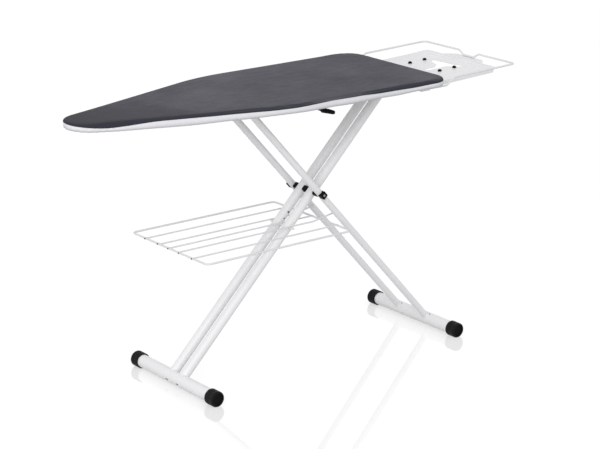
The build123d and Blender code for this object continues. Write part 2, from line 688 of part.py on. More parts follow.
def rest_clamp(side, name):
    """A clamp block under the deck that holds one end of the rest rail."""
    y = side * REST_RAIL_Y
    with BuildPart() as clamp:
        block(
            (CLAMP_X - CLAMP_LENGTH / 2, y - CLAMP_WIDTH / 2, REST_ROD_Z - REST_WIRE / 2 - CLAMP_FLOOR),
            (CLAMP_X + CLAMP_LENGTH / 2, y + CLAMP_WIDTH / 2, DECK_UNDER),
        )
        fillet(clamp.edges().filter_by(Axis.X).group_by(Axis.Z)[0], radius=CLAMP_WIDTH / 4)
        room = REST_WIRE / 2 + JOINT_CLEARANCE
        x_rod(y, REST_ROD_Z, room, CLAMP_X - CLAMP_LENGTH, CLAMP_X + CLAMP_LENGTH, Mode.SUBTRACT)
    save(clamp, name)


rest_clamp(-1, "rest_clamp_near")
rest_clamp(1, "rest_clamp_far")


def tray_bracket(side, name):
    """A Z bracket from the deck down to the neck of the tray."""
    near_y = (side * BRACKET_SPACING - BRACKET_WIDTH) / 2
    far_y = (side * BRACKET_SPACING + BRACKET_WIDTH) / 2
    web = TAIL_X - TRAY_INSET + BRACKET_STEP
    back = web + BRACKET_SHEET
    with BuildPart() as bracket:
        block((web - BRACKET_UPPER, near_y, DECK_UNDER - BRACKET_SHEET), (back, far_y, DECK_UNDER))
        block((web, near_y, TRAY_Z), (back, far_y, DECK_UNDER))
        block((web, near_y, TRAY_Z), (web + BRACKET_LOWER, far_y, TRAY_Z + BRACKET_SHEET))
    save(bracket, name)


tray_bracket(-1, "tray_bracket_near")
tray_bracket(1, "tray_bracket_far")


# Feet: a cross tube with a plastic cap on each end, shared by both legs
TUBE_HALF = FOOT_LENGTH / 2 - CAP_END


def foot_tube(x, name):
    """Floor tube of a leg along Y."""
    with BuildPart() as tube:
        y_rod(x, FOOT_Z, FOOT_DIAMETER / 2, -TUBE_HALF, TUBE_HALF)
        y_rod(x, FOOT_Z, FOOT_DIAMETER / 2 - TUBE_WALL, -TUBE_HALF, TUBE_HALF, Mode.SUBTRACT)
    save(tube, name)


def foot_cap(x, side, name):
    """Round end cap over the floor tube, flat where it meets the floor."""
    outer = side * FOOT_LENGTH / 2
    inner = side * (FOOT_LENGTH / 2 - CAP_LENGTH)
    with BuildPart() as cap:
        low, high = sorted((outer, inner))
        y_rod(x, FOOT_Z, CAP_DIAMETER / 2, low, high)
        end_faces = cap.faces().sort_by(Axis.Y)
        fillet(end_faces[-1 if side > 0 else 0].edges(), radius=CAP_ROUND)
        low, high = sorted((inner, side * TUBE_HALF))
        y_rod(x, FOOT_Z, FOOT_DIAMETER / 2 + JOINT_CLEARANCE, low, high, Mode.SUBTRACT)
        split(bisect_by=Plane.XY, keep=Keep.TOP)
    save(cap, name)


for letter, foot_x in (("a", FOOT_A_X), ("b", FOOT_B_X)):
    foot_tube(foot_x, f"foot_tube_{letter}")
    foot_cap(foot_x, -1, f"foot_cap_{letter}_near")
    foot_cap(foot_x, 1, f"foot_cap_{letter}_far")


# Legs
def leg_tube(foot_x, up, length, diameter, y, top, top_radius):
    """A hollow leg tube from the foot axis to a top axis, coped to both; added to the part in hand."""
    with BuildSketch(Plane(origin=(foot_x, y, FOOT_Z), x_dir=(0, 1, 0), z_dir=up)) as section:
        Circle(diameter / 2)
        Circle(diameter / 2 - TUBE_WALL, mode=Mode.SUBTRACT)
    extrude(section.sketch, amount=length)
    low, high = y - diameter, y + diameter
    y_rod(foot_x, FOOT_Z, FOOT_DIAMETER / 2 + JOINT_CLEARANCE, low, high, Mode.SUBTRACT)
    y_rod(top[0], top[1], top_radius + JOINT_CLEARANCE, low, high, Mode.SUBTRACT)


LEG_A_LENGTH = LEG_RISE / math.sin(math.radians(LEG_A_ANGLE))
LEG_B_LENGTH = LEG_RISE / math.sin(math.radians(LEG_B_ANGLE))
for word, side in (("near", -1), ("far", 1)):
    with BuildPart() as leg_a_tube:
        y = side * LEG_A_Y
        leg_tube(FOOT_A_X, LEG_A_UP, LEG_A_LENGTH, LEG_A_DIAMETER, y, (HINGE_X, HINGE_Z), HEAD_DIAMETER / 2)
        span = (y - LEG_A_DIAMETER, y + LEG_A_DIAMETER)
        y_rod(CROSS_X, CROSS_Z, BOLT_DIAMETER / 2 + RUNNING_CLEARANCE, *span, Mode.SUBTRACT)
        y_rod(SHELF_ROD_X, SHELF_ROD_Z, SHELF_ROD_DIAMETER / 2 + JOINT_CLEARANCE, *span, Mode.SUBTRACT)
    save(leg_a_tube, f"leg_a_tube_{word}")
    with BuildPart() as leg_b_tube:
        y = side * LEG_B_Y
        leg_tube(FOOT_B_X, LEG_B_UP, LEG_B_LENGTH, LEG_B_DIAMETER, y, (BAR_X, HINGE_Z), CROSSBAR_DIAMETER / 2)
        span = (y - LEG_B_DIAMETER, y + LEG_B_DIAMETER)
        y_rod(CROSS_X, CROSS_Z, BOLT_DIAMETER / 2 + JOINT_CLEARANCE, *span, Mode.SUBTRACT)
        inner_wall = sorted((side * LEG_B_Y, side * (LEG_B_INNER - LEG_B_DIAMETER)))
        y_rod(HOOK_X, HOOK_Z, SHELF_WIRE / 2 + RUNNING_CLEARANCE, *inner_wall, Mode.SUBTRACT)
    save(leg_b_tube, f"leg_b_tube_{word}")

with BuildPart() as leg_a_head:
    head_half = EAR_Y - EAR_SHEET / 2 - SIDE_CLEARANCE
    y_rod(HINGE_X, HINGE_Z, HEAD_DIAMETER / 2, -head_half, head_half)
    pin_room = HINGE_PIN_DIAMETER / 2 + RUNNING_CLEARANCE
    y_rod(HINGE_X, HINGE_Z, pin_room, -head_half, head_half, Mode.SUBTRACT)
save(leg_a_head, "leg_a_head")

with BuildPart() as shelf_rod:
    y_rod(SHELF_ROD_X, SHELF_ROD_Z, SHELF_ROD_DIAMETER / 2, -SHELF_ROD_LENGTH / 2, SHELF_ROD_LENGTH / 2)
save(shelf_rod, "shelf_rod")

with BuildPart() as crossbar:
    y_rod(BAR_X, HINGE_Z, CROSSBAR_DIAMETER / 2, -BAR_HALF, BAR_HALF)
    y_rod(BAR_X, HINGE_Z, CROSSBAR_DIAMETER / 2 - TUBE_WALL, -BAR_HALF, BAR_HALF, Mode.SUBTRACT)
save(crossbar, "crossbar")

for word, side in (("near", -1), ("far", 1)):
    with BuildPart() as bar_plug:
        head = sorted((side * BAR_HALF, side * (BAR_HALF + PLUG_HEAD)))
        y_rod(BAR_X, HINGE_Z, CROSSBAR_DIAMETER / 2, *head)
        outer_face = bar_plug.faces().sort_by(Axis.Y)[-1 if side > 0 else 0]
        fillet(outer_face.edges(), radius=PLUG_HEAD / 2)
        stem = sorted((side * BAR_HALF, side * (BAR_HALF - PLUG_LENGTH)))
        y_rod(BAR_X, HINGE_Z, CROSSBAR_DIAMETER / 2 - TUBE_WALL - JOINT_CLEARANCE, *stem)
    save(bar_plug, f"bar_plug_{word}")


# Crossing pivot: one bolt, saddles that hold the tubes apart and caps over its ends
def leg_bore(y, diameter, up):
    """The room of one leg tube, cut from a piece that saddles it."""
    with BuildSketch(Plane(origin=(CROSS_X, y, CROSS_Z), x_dir=(0, 1, 0), z_dir=up)) as section:
        Circle(diameter / 2 + JOINT_CLEARANCE)
    extrude(section.sketch, amount=2 * max(SADDLE_SIZE), both=True, mode=Mode.SUBTRACT)


def pivot_pad(size, turn, low, high):
    """A pad about the bolt from y = low to high, turned along a leg; added to the part in hand."""
    with BuildSketch(Plane.XZ.offset(-high)) as section:
        with Locations((CROSS_X, CROSS_Z)):
            RectangleRounded(*size, PIVOT_CORNER, rotation=turn)
    extrude(section.sketch, amount=high - low)


with BuildPart() as pivot_block:
    pivot_pad(BLOCK_SIZE, LEG_A_ANGLE, -LEG_A_Y, LEG_A_Y)
    for side in (-1, 1):
        leg_bore(side * LEG_A_Y, LEG_A_DIAMETER, LEG_A_UP)
    y_rod(CROSS_X, CROSS_Z, BOLT_DIAMETER / 2 + RUNNING_CLEARANCE, -LEG_A_Y, LEG_A_Y, Mode.SUBTRACT)
save(pivot_block, "pivot_block")

for word, side in (("near", -1), ("far", 1)):
    with BuildPart() as pivot_saddle:
        ends = sorted((side * LEG_A_Y, side * (LEG_B_INNER - SIDE_CLEARANCE)))
        pivot_pad(SADDLE_SIZE, -LEG_B_ANGLE, *ends)
        leg_bore(side * LEG_A_Y, LEG_A_DIAMETER, LEG_A_UP)
        y_rod(CROSS_X, CROSS_Z, BOLT_DIAMETER / 2 + SIDE_CLEARANCE, *ends, Mode.SUBTRACT)
    save(pivot_saddle, f"pivot_saddle_{word}")
    with BuildPart() as pivot_cap:
        outer = side * (LEG_B_OUTER + PIVOT_CAP_HEIGHT)
        ends = sorted((side * LEG_B_Y, outer))
        pivot_pad(PIVOT_CAP_SIZE, -LEG_B_ANGLE, *ends)
        end_faces = pivot_cap.faces().sort_by(Axis.Y)
        fillet(end_faces[-1 if side > 0 else 0].edges(), radius=PIVOT_CAP_ROUND)
        leg_bore(side * LEG_B_Y, LEG_B_DIAMETER, LEG_B_UP)
        y_rod(CROSS_X, CROSS_Z, BOLT_DIAMETER / 2 + JOINT_CLEARANCE, *ends, Mode.SUBTRACT)
        head_room = sorted((outer, outer - side * BOLT_HEAD_HEIGHT))
        y_rod(CROSS_X, CROSS_Z, BOLT_HEAD_DIAMETER / 2 + JOINT_CLEARANCE, *head_room, Mode.SUBTRACT)
    save(pivot_cap, f"pivot_cap_{word}")

with BuildPart() as pivot_bolt:
    seat_y = LEG_B_OUTER + PIVOT_CAP_HEIGHT - BOLT_HEAD_HEIGHT
    y_rod(CROSS_X, CROSS_Z, BOLT_DIAMETER / 2, -seat_y, seat_y)
    for side in (-1, 1):
        ends = sorted((side * seat_y, side * (seat_y + BOLT_HEAD_HEIGHT)))
        y_rod(CROSS_X, CROSS_Z, BOLT_HEAD_DIAMETER / 2, *ends)
    fillet(pivot_bolt.faces().sort_by(Axis.Y)[0].edges(), radius=BOLT_ROUND)
save(pivot_bolt, "pivot_bolt")


# Shelf: a bent frame wire, straight wires across its ends, and two that end in hooks on leg B
with BuildPart() as shelf_frame:
    half = SHELF_WIDTH / 2
    with BuildLine() as frame_path:
        FilletPolyline(
            (SHELF_LEFT, half, SHELF_Z),
            (SHELF_RIGHT, half, SHELF_Z),
            (SHELF_RIGHT, -half, SHELF_Z),
            (SHELF_LEFT, -half, SHELF_Z),
            radius=SHELF_CORNER,
            close=True,
        )
    loop = frame_path.wires()[0]
    with BuildSketch(Plane(origin=loop @ 0, z_dir=loop % 0)):
        Circle(FRAME_WIRE / 2)
    sweep(path=loop)
save(shelf_frame, "shelf_frame")


def cope_wire(y, *ends):
    """Room for the frame's end bars, cut from a shelf wire at y."""
    for end_x in ends:
        low, high = y - SHELF_WIRE, y + SHELF_WIRE
        y_rod(end_x, SHELF_Z, FRAME_WIRE / 2 + JOINT_CLEARANCE, low, high, Mode.SUBTRACT)


outer_y = OUTER_WIRE_SPACING / 2
for word, wire_y in (("near", -outer_y), ("mid", 0.0), ("far", outer_y)):
    with BuildPart() as shelf_wire:
        x_rod(wire_y, SHELF_Z, SHELF_WIRE / 2, SHELF_LEFT, SHELF_RIGHT)
        cope_wire(wire_y, SHELF_LEFT, SHELF_RIGHT)
    save(shelf_wire, f"shelf_wire_{word}")

for word, side in (("near", -1), ("far", 1)):
    hook_start = (SHELF_LEFT, side * HOOK_Y, SHELF_Z)
    with BuildPart() as shelf_hook:
        with BuildLine() as hook_path:
            FilletPolyline(
                hook_start,
                (HOOK_RISE_X, side * HOOK_Y, SHELF_Z),
                (HOOK_X, side * HOOK_Y, HOOK_Z),
                (HOOK_X, side * (LEG_B_INNER + HOOK_REACH), HOOK_Z),
                radius=HOOK_BEND,
            )
        with BuildSketch(Plane(origin=hook_start, z_dir=(1, 0, 0))):
            Circle(SHELF_WIRE / 2)
        sweep(path=hook_path.wires()[0])
        cope_wire(side * HOOK_Y, SHELF_LEFT)
    save(shelf_hook, f"shelf_hook_{word}")
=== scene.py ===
"""Ironing board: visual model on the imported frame. Metres, +Z up, same frame as the solids."""

import math
from collections import namedtuple

import bmesh
import bpy
from mathutils import Matrix, Vector, noise


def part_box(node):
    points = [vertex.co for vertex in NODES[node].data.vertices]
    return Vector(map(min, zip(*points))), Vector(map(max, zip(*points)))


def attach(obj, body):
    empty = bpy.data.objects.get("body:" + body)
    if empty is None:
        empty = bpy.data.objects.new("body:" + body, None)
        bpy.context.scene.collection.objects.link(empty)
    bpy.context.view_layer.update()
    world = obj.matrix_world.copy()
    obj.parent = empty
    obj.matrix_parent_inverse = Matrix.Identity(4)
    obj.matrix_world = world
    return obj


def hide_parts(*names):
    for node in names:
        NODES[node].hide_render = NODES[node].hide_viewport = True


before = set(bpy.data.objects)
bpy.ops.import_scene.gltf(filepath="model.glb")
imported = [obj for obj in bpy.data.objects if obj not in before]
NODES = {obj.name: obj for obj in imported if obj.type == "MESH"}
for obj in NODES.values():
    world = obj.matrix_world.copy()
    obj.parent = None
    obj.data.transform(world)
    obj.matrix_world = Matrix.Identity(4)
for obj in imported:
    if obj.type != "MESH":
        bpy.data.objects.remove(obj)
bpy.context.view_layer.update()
MM = 0.001


# Node trees

def add(tree, kind, inputs=None, **props):
    """New node with its properties and inputs set; an input may be another node's output."""
    node = tree.nodes.new(kind)
    for key, value in props.items():
        setattr(node, key, value)
    for key, value in (inputs or {}).items():
        if isinstance(value, bpy.types.NodeSocket):
            tree.links.new(value, node.inputs[key])
        else:
            node.inputs[key].default_value = value
    return node


def blank_tree(owner):
    """Empty node tree of a material or a world."""
    owner.use_nodes = True
    owner.node_tree.nodes.clear()
    return owner.node_tree


def surface(name, **constants):
    """New material with one surface shader, and the object's own coordinates."""
    mat = bpy.data.materials.new(name)
    tree = blank_tree(mat)
    out = tree.nodes.new("ShaderNodeOutputMaterial")
    shader = tree.nodes.new("ShaderNodeBsdfPrincipled")
    tree.links.new(shader.outputs["BSDF"], out.inputs["Surface"])
    for key, value in constants.items():
        shader.inputs[key.replace("_", " ")].default_value = value
    coords = tree.nodes.new("ShaderNodeTexCoord").outputs["Object"]
    return mat, tree, shader, coords


def stretched(tree, coords, scale):
    """Coordinates multiplied by a scale for each axis."""
    return add(tree, "ShaderNodeMapping", {"Vector": coords, "Scale": scale}).outputs["Vector"]


def cloud(tree, coords, scale=1.0, detail=3.0, roughness=0.55):
    """Noise from 0 to 1; scale is in cells for each unit of the coordinates."""
    values = {"Vector": coords, "Scale": scale, "Detail": detail, "Roughness": roughness}
    return add(tree, "ShaderNodeTexNoise", values).outputs["Fac"]


def blend_of(tree, factor, a, b):
    """Value between two values or sockets."""
    return add(tree, "ShaderNodeMix", {"Factor": factor, "A": a, "B": b}).outputs["Result"]


def sum_of(tree, a, b):
    """Sum of two sockets."""
    return add(tree, "ShaderNodeMath", {0: a, 1: b}, operation="ADD").outputs[0]


def ramp(tree, factor, stops):
    """Colour ramp over a factor; stops are (place, colour)."""
    node = add(tree, "ShaderNodeValToRGB", {"Fac": factor})
    elements = node.color_ramp.elements
    while len(elements) < len(stops):
        elements.new(0.5)
    for element, (place, colour) in zip(elements, stops):
        element.position = place
        element.color = (*colour, 1.0)
    return node.outputs["Color"]


def spread(tree, value, low, high, start=0.0, end=1.0, **props):
    """Value between start and end taken to a range from low to high."""
    values = {"Value": value, "From Min": start, "From Max": end, "To Min": low, "To Max": high}
    return add(tree, "ShaderNodeMapRange", values, **props).outputs["Result"]


def relief(tree, shader, height, strength, distance):
    """Fine surface relief on a shader."""
    values = {"Height": height, "Strength": strength, "Distance": distance}
    tree.links.new(add(tree, "ShaderNodeBump", values).outputs["Normal"], shader.inputs["Normal"])


def turned_colour(tree, start, end, under, over):
    """Painted shade: colour that changes from under to over as the Z of the surface's normal rises from
    start to end.
    """
    normal = tree.nodes.new("ShaderNodeNewGeometry").outputs["Normal"]
    upward = add(tree, "ShaderNodeSeparateXYZ", {"Vector": normal}).outputs["Z"]
    share = spread(tree, upward, 0.0, 1.0, start, end, interpolation_type="SMOOTHSTEP")
    mix = add(tree, "ShaderNodeMix", {"Factor": share}, data_type="RGBA")
    # The node has sockets of other types with the same names, so the colour ones are found by type.
    colours = [socket for socket in mix.inputs if socket.type == "RGBA"]
    colours[0].default_value = (*under, 1.0)
    tree.links.new(over, colours[1])
    return [socket for socket in mix.outputs if socket.type == "RGBA"][0]


# Kinds of finish

DRIFT_CELLS = 9.0
GLOSS_CELLS = 55.0
BLOT_CELLS = 16.0
YARN_RELIEF = 0.5
# Painted shade: range of normal Z over which the hem darkens as it turns down
HEM_SHADE_TURN = (-0.35, 0.05)
STREAK_CELLS = (14.0, 52.0, 52.0)
COVER_BLOT_CELLS = 5.0
COVER_BLOT_SHARE = 0.45
COVER_YARN_SHARE = 0.35
# Painted shade: the cover darkens towards the nose over this range of X, by this much
NOSE_SHADE_X = (-0.78, -0.40)
NOSE_SHADE_TONE = -0.30
# Painted light: the cover grows paler towards the far side over this range of Y, by this much
FAR_LIGHT_Y = (-0.10, 0.24)
FAR_LIGHT_TONE = 0.045
# Painted shade: range of normal Z over which the cover's rolled edge darkens
COVER_SHADE_TURN = (0.965, 0.9996)


def plain_finish(name, dark, light, rough, grain, **constants):
    """Paint, plastic or metal with slow colour drift, uneven gloss and grain (cells, strength, depth)."""
    mat, tree, shader, coords = surface(name, **constants)
    drift = cloud(tree, coords, DRIFT_CELLS, detail=4.0)
    tree.links.new(ramp(tree, drift, [(0.3, dark), (0.7, light)]), shader.inputs["Base Color"])
    gloss = cloud(tree, coords, GLOSS_CELLS)
    tree.links.new(spread(tree, gloss, *rough), shader.inputs["Roughness"])
    cells, strength, depth = grain
    relief(tree, shader, cloud(tree, coords, cells, detail=2.0), strength, depth)
    return mat


def threads_of(tree, coords, yarn):
    """Fine crossing yarns as a value from 0 to 1; yarn is the cells along a yarn and across it."""
    along_yarn, across_yarn = yarn
    warp = cloud(tree, stretched(tree, coords, (along_yarn, across_yarn, across_yarn)), detail=2.0)
    weft = cloud(tree, stretched(tree, coords, (across_yarn, along_yarn, across_yarn)), detail=2.0)
    return blend_of(tree, 0.5, warp, weft)


def woven(name, stops, yarn, blot_share, depth, under=None, **constants):
    """Cloth of crossing yarns with mottled colour; under, if given, is a painted shade colour where the
    cloth turns down.
    """
    mat, tree, shader, coords = surface(name, **constants)
    threads = threads_of(tree, coords, yarn)
    blots = cloud(tree, coords, BLOT_CELLS, detail=5.0, roughness=0.6)
    colour = ramp(tree, blend_of(tree, blot_share, threads, blots), stops)
    # Painted shade: the hem darkens where its surface turns to face down.
    if under:
        colour = turned_colour(tree, *HEM_SHADE_TURN, under, colour)
    tree.links.new(colour, shader.inputs["Base Color"])
    relief(tree, shader, threads, YARN_RELIEF, depth)
    return mat


def brushed_cover(name, stops, side, yarn, depth, **constants):
    """Streaked cover cloth, with painted shade at the nose and where it turns down, and painted light on
    the far side.
    """
    mat, tree, shader, coords = surface(name, **constants)
    threads = threads_of(tree, coords, yarn)
    streaks = cloud(tree, stretched(tree, coords, STREAK_CELLS), detail=7.0, roughness=0.72)
    blots = cloud(tree, coords, COVER_BLOT_CELLS, roughness=0.5)
    tone = blend_of(tree, COVER_YARN_SHARE, blend_of(tree, COVER_BLOT_SHARE, streaks, blots), threads)
    place = add(tree, "ShaderNodeSeparateXYZ", {"Vector": coords}).outputs
    # Painted shade, darker towards the nose.
    tone = sum_of(tree, tone, spread(tree, place["X"], NOSE_SHADE_TONE, 0.0, *NOSE_SHADE_X))
    # Painted light, paler towards the far side.
    tone = sum_of(tree, tone, spread(tree, place["Y"], 0.0, FAR_LIGHT_TONE, *FAR_LIGHT_Y))
    top = ramp(tree, tone, stops)
    # Painted shade: the top's colour gives way to a dark blue-black where the rolled edge turns sideways.
    tree.links.new(turned_colour(tree, *COVER_SHADE_TURN, side, top), shader.inputs["Base Color"])
    relief(tree, shader, threads, YARN_RELIEF, depth)
    return mat


# Materials

COVER_STOPS = [
    (0.20, (0.044, 0.043, 0.050)),
    (0.40, (0.058, 0.055, 0.068)),
    (0.52, (0.090, 0.086, 0.105)),
    (0.64, (0.124, 0.118, 0.141)),
]
# Painted shade colour of the cover's rolled edge
COVER_SIDE_SHADE = (0.030, 0.031, 0.043)
SKIRT_STOPS = [(0.36, (0.72, 0.72, 0.745)), (0.64, (0.80, 0.80, 0.825))]
# Painted shade colour of the hem where it faces down
SKIRT_UNDER_SHADE = (0.52, 0.52, 0.55)
FELT_STOPS = [(0.36, (0.46, 0.45, 0.43)), (0.64, (0.62, 0.61, 0.58))]
THREAD_STOPS = [(0.36, (0.62, 0.62, 0.64)), (0.64, (0.72, 0.72, 0.74))]
COVER_YARN = (90.0, 760.0)
SKIRT_YARN = (160.0, 1400.0)
FELT_YARN = (260.0, 520.0)
PAINT_GRAIN = (900.0, 0.04, 0.0002)
PLASTIC_GRAIN = (1400.0, 0.25, 0.0003)

cover_cloth = brushed_cover(
    "cover_cloth", COVER_STOPS, COVER_SIDE_SHADE, COVER_YARN, depth=0.0006,
    Roughness=0.92, Specular_IOR_Level=0.2, Sheen_Weight=0.03, Sheen_Roughness=0.5)
skirt_cloth = woven(
    "skirt_cloth", SKIRT_STOPS, SKIRT_YARN, blot_share=0.35, depth=0.0003, under=SKIRT_UNDER_SHADE,
    Roughness=0.95, Sheen_Weight=0.05, Sheen_Roughness=0.5)
felt = woven("felt", FELT_STOPS, FELT_YARN, blot_share=0.5, depth=0.0008, Roughness=1.0)
thread = woven("thread", THREAD_STOPS, SKIRT_YARN, blot_share=0.2, depth=0.0003, Roughness=0.9)

powder_coat = plain_finish(
    "powder_coat", dark=(0.80, 0.80, 0.812), light=(0.83, 0.83, 0.842),
    rough=(0.31, 0.36), grain=PAINT_GRAIN)
# The white paint made a little darker for the thin wires of the shelf and the iron rest, as painted shade.
shaded_wire_coat = plain_finish(
    "shaded_wire_coat", dark=(0.72, 0.72, 0.732), light=(0.75, 0.75, 0.762),
    rough=(0.33, 0.38), grain=PAINT_GRAIN)
zinc = plain_finish(
    "zinc", dark=(0.22, 0.225, 0.23), light=(0.34, 0.345, 0.35),
    rough=(0.26, 0.44), grain=(500.0, 0.15, 0.0003), Metallic=1.0)
black_plastic = plain_finish(
    "black_plastic", dark=(0.003, 0.003, 0.0033), light=(0.006, 0.006, 0.0066),
    rough=(0.34, 0.50), grain=PLASTIC_GRAIN, Specular_IOR_Level=0.06)
# Lighter copy of the black plastic for the foot caps' sides, as painted light; their dished ends keep the
# darker black as painted shade.
cap_rubber = plain_finish(
    "cap_rubber", dark=(0.006, 0.006, 0.0063), light=(0.011, 0.011, 0.0115),
    rough=(0.42, 0.56), grain=PLASTIC_GRAIN, Specular_IOR_Level=0.1)
# Dark grey steel: the rivet heads' own colour, and painted shade on the shelf's wire ends.
bare_steel_and_shade = plain_finish(
    "bare_steel_and_shade", dark=(0.10, 0.10, 0.105), light=(0.17, 0.17, 0.175),
    rough=(0.35, 0.50), grain=(700.0, 0.2, 0.0003))
silicone = plain_finish(
    "silicone", dark=(0.003, 0.003, 0.0033), light=(0.006, 0.006, 0.0066),
    rough=(0.55, 0.70), grain=(900.0, 0.2, 0.0003), Specular_IOR_Level=0.06)

BLACK_NODES = {
    "foot_cap_a_near", "foot_cap_a_far", "foot_cap_b_near", "foot_cap_b_far", "bar_plug_near",
    "bar_plug_far", "pivot_block", "pivot_saddle_near", "pivot_saddle_far", "pivot_cap_near",
    "pivot_cap_far", "lever_grip", "release_rod",
}
ZINC_NODES = {"hinge_pin", "lever_pin", "pivot_bolt", "lock_bar"}
WIRE_NODES = {
    "shelf_frame", "shelf_wire_near", "shelf_wire_mid", "shelf_wire_far", "shelf_hook_near",
    "shelf_hook_far", "rest_rail",
}


def dress(name):
    """Material for a node that keeps its solid shape."""
    if name in BLACK_NODES:
        return black_plastic
    if name in ZINC_NODES:
        return zinc
    if name in WIRE_NODES:
        return shaded_wire_coat
    return silicone if name == "rest_bumpers" else powder_coat


for node_name, node in NODES.items():
    node.data.materials.clear()
    node.data.materials.append(dress(node_name))


# Pieces

MERGE_DISTANCE = 1e-5
ROUND_SIDES = 40
SIDES = ("near", "far")
LENGTHWISE = Vector((1.0, 0.0, 0.0))
SIDEWAYS = Vector((0.0, 1.0, 0.0))


def piece(name, verts, faces, body, slot, mats, picks=None):
    """Smooth mesh that rides on a body; picks gives each face its material."""
    mesh = bpy.data.meshes.new(name)
    mesh.from_pydata(verts, [], faces)
    for mat in mats:
        mesh.materials.append(mat)
    if picks:
        mesh.polygons.foreach_set("material_index", picks)
    mesh.polygons.foreach_set("use_smooth", [True] * len(mesh.polygons))
    obj = bpy.data.objects.new(name, mesh)
    bpy.context.scene.collection.objects.link(obj)
    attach(obj, body)
    return obj


def weld_points(obj):
    """Merge points that fall together and turn all faces outward."""
    work = bmesh.new()
    work.from_mesh(obj.data)
    bmesh.ops.remove_doubles(work, verts=work.verts, dist=MERGE_DISTANCE)
    bmesh.ops.recalc_face_normals(work, faces=work.faces)
    work.to_mesh(obj.data)
    work.free()


def loft(rings):
    """Points and quads between closed rings that have the same number of points."""
    count = len(rings[0])
    verts = [point for ring in rings for point in ring]
    faces = []
    for i in range(len(rings) - 1):
        for j in range(count):
            k = (j + 1) % count
            faces.append((i * count + j, i * count + k, (i + 1) * count + k, (i + 1) * count + j))
    return verts, faces


def turned(middle, up, across, profile):
    """Points and quads of a form turned about a line: profile gives radius and height in mm."""
    ahead = up.cross(across)
    rings = []
    for radius, height in profile:
        ring = []
        for i in range(ROUND_SIDES):
            a = 2 * math.pi * i / ROUND_SIDES
            spoke = across * math.cos(a) + ahead * math.sin(a)
            ring.append(middle + (spoke * radius + up * height) * MM)
        rings.append(ring)
    return loft(rings)


def joined(parts):
    """Several sets of points and faces as one."""
    verts = []
    faces = []
    for some_verts, some_faces in parts:
        first = len(verts)
        verts += some_verts
        faces += [tuple(first + k for k in face) for face in some_faces]
    return verts, faces


def middle_of(node_name):
    """Middle of a node's box."""
    low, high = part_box(node_name)
    return (low + high) / 2


# Table edge in plan

SKIRT_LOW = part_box("cover_skirt")[0]
COVER_LOW, COVER_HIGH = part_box("cover_top")
FOAM_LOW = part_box("foam_pad")[0]
NOSE_RADIUS = 72 * MM
TAPER = math.radians(17.4)
SHOULDER_RADIUS = 600 * MM
TAIL_RADIUS = 66 * MM
NOSE_X = COVER_LOW.x + NOSE_RADIUS
TAIL_X = COVER_HIGH.x
HALF = COVER_HIGH.y
EDGE_STEP = 6 * MM
MEDIAL_END = TAIL_X - 162 * MM

Spot = namedtuple("Spot", "x y nx ny middle place")


def arc(cx, cy, radius, start, end):
    """Points and outward normals on an arc, without its last point."""
    steps = max(2, math.ceil(abs(end - start) * radius / EDGE_STEP))
    out = []
    for i in range(steps):
        a = start + (end - start) * i / steps
        n = (math.cos(a), math.sin(a))
        out.append((cx + radius * n[0], cy + radius * n[1], *n))
    return out


def run(start, end, normal):
    """Points and outward normals on a straight edge, without its last point."""
    steps = max(2, math.ceil(math.dist(start, end) / EDGE_STEP))
    out = []
    for i in range(steps):
        f = i / steps
        out.append((start[0] + (end[0] - start[0]) * f, start[1] + (end[1] - start[1]) * f, *normal))
    return out


def half_edge():
    """The +Y half of the table edge from nose to tail: x, y, outward normal, place on the middle line."""
    lean = (-math.sin(TAPER), math.cos(TAPER))
    first = (NOSE_X + NOSE_RADIUS * lean[0], NOSE_RADIUS * lean[1])
    rise = HALF - SHOULDER_RADIUS * (1 - lean[1]) - first[1]
    second = (first[0] + rise / math.tan(TAPER), first[1] + rise)
    shoulder_x = second[0] - SHOULDER_RADIUS * lean[0]
    quarter = math.pi / 2
    nose = arc(NOSE_X, 0, NOSE_RADIUS, math.pi, quarter + TAPER)
    side = run(first, second, lean)
    side += arc(shoulder_x, HALF - SHOULDER_RADIUS, SHOULDER_RADIUS, quarter + TAPER, quarter)
    side += run((shoulder_x, HALF), (TAIL_X - TAIL_RADIUS, HALF), (0.0, 1.0))
    tail = arc(TAIL_X - TAIL_RADIUS, HALF - TAIL_RADIUS, TAIL_RADIUS, quarter, 0.0)
    tail += run((TAIL_X, HALF - TAIL_RADIUS), (TAIL_X, 0.0), (1.0, 0.0))
    tail.append((TAIL_X, 0.0, 1.0, 0.0))
    out = [(*p, NOSE_X) for p in nose]
    for i, p in enumerate(side):
        out.append((*p, NOSE_X + (MEDIAL_END - NOSE_X) * i / (len(side) - 1)))
    return out + [(*p, MEDIAL_END) for p in tail]


def whole_edge():
    """All of the table edge as spots with the length up to each, and the whole length."""
    half = half_edge()
    back = [(x, -y, nx, -ny, m) for x, y, nx, ny, m in reversed(half[1:-1])]
    loop = half + back
    out = []
    length = 0.0
    for i, p in enumerate(loop):
        out.append(Spot(*p, length))
        q = loop[(i + 1) % len(loop)]
        length += math.dist(p[:2], q[:2])
    return out, length


EDGE, EDGE_LENGTH = whole_edge()


# Irregular seam and hem lines

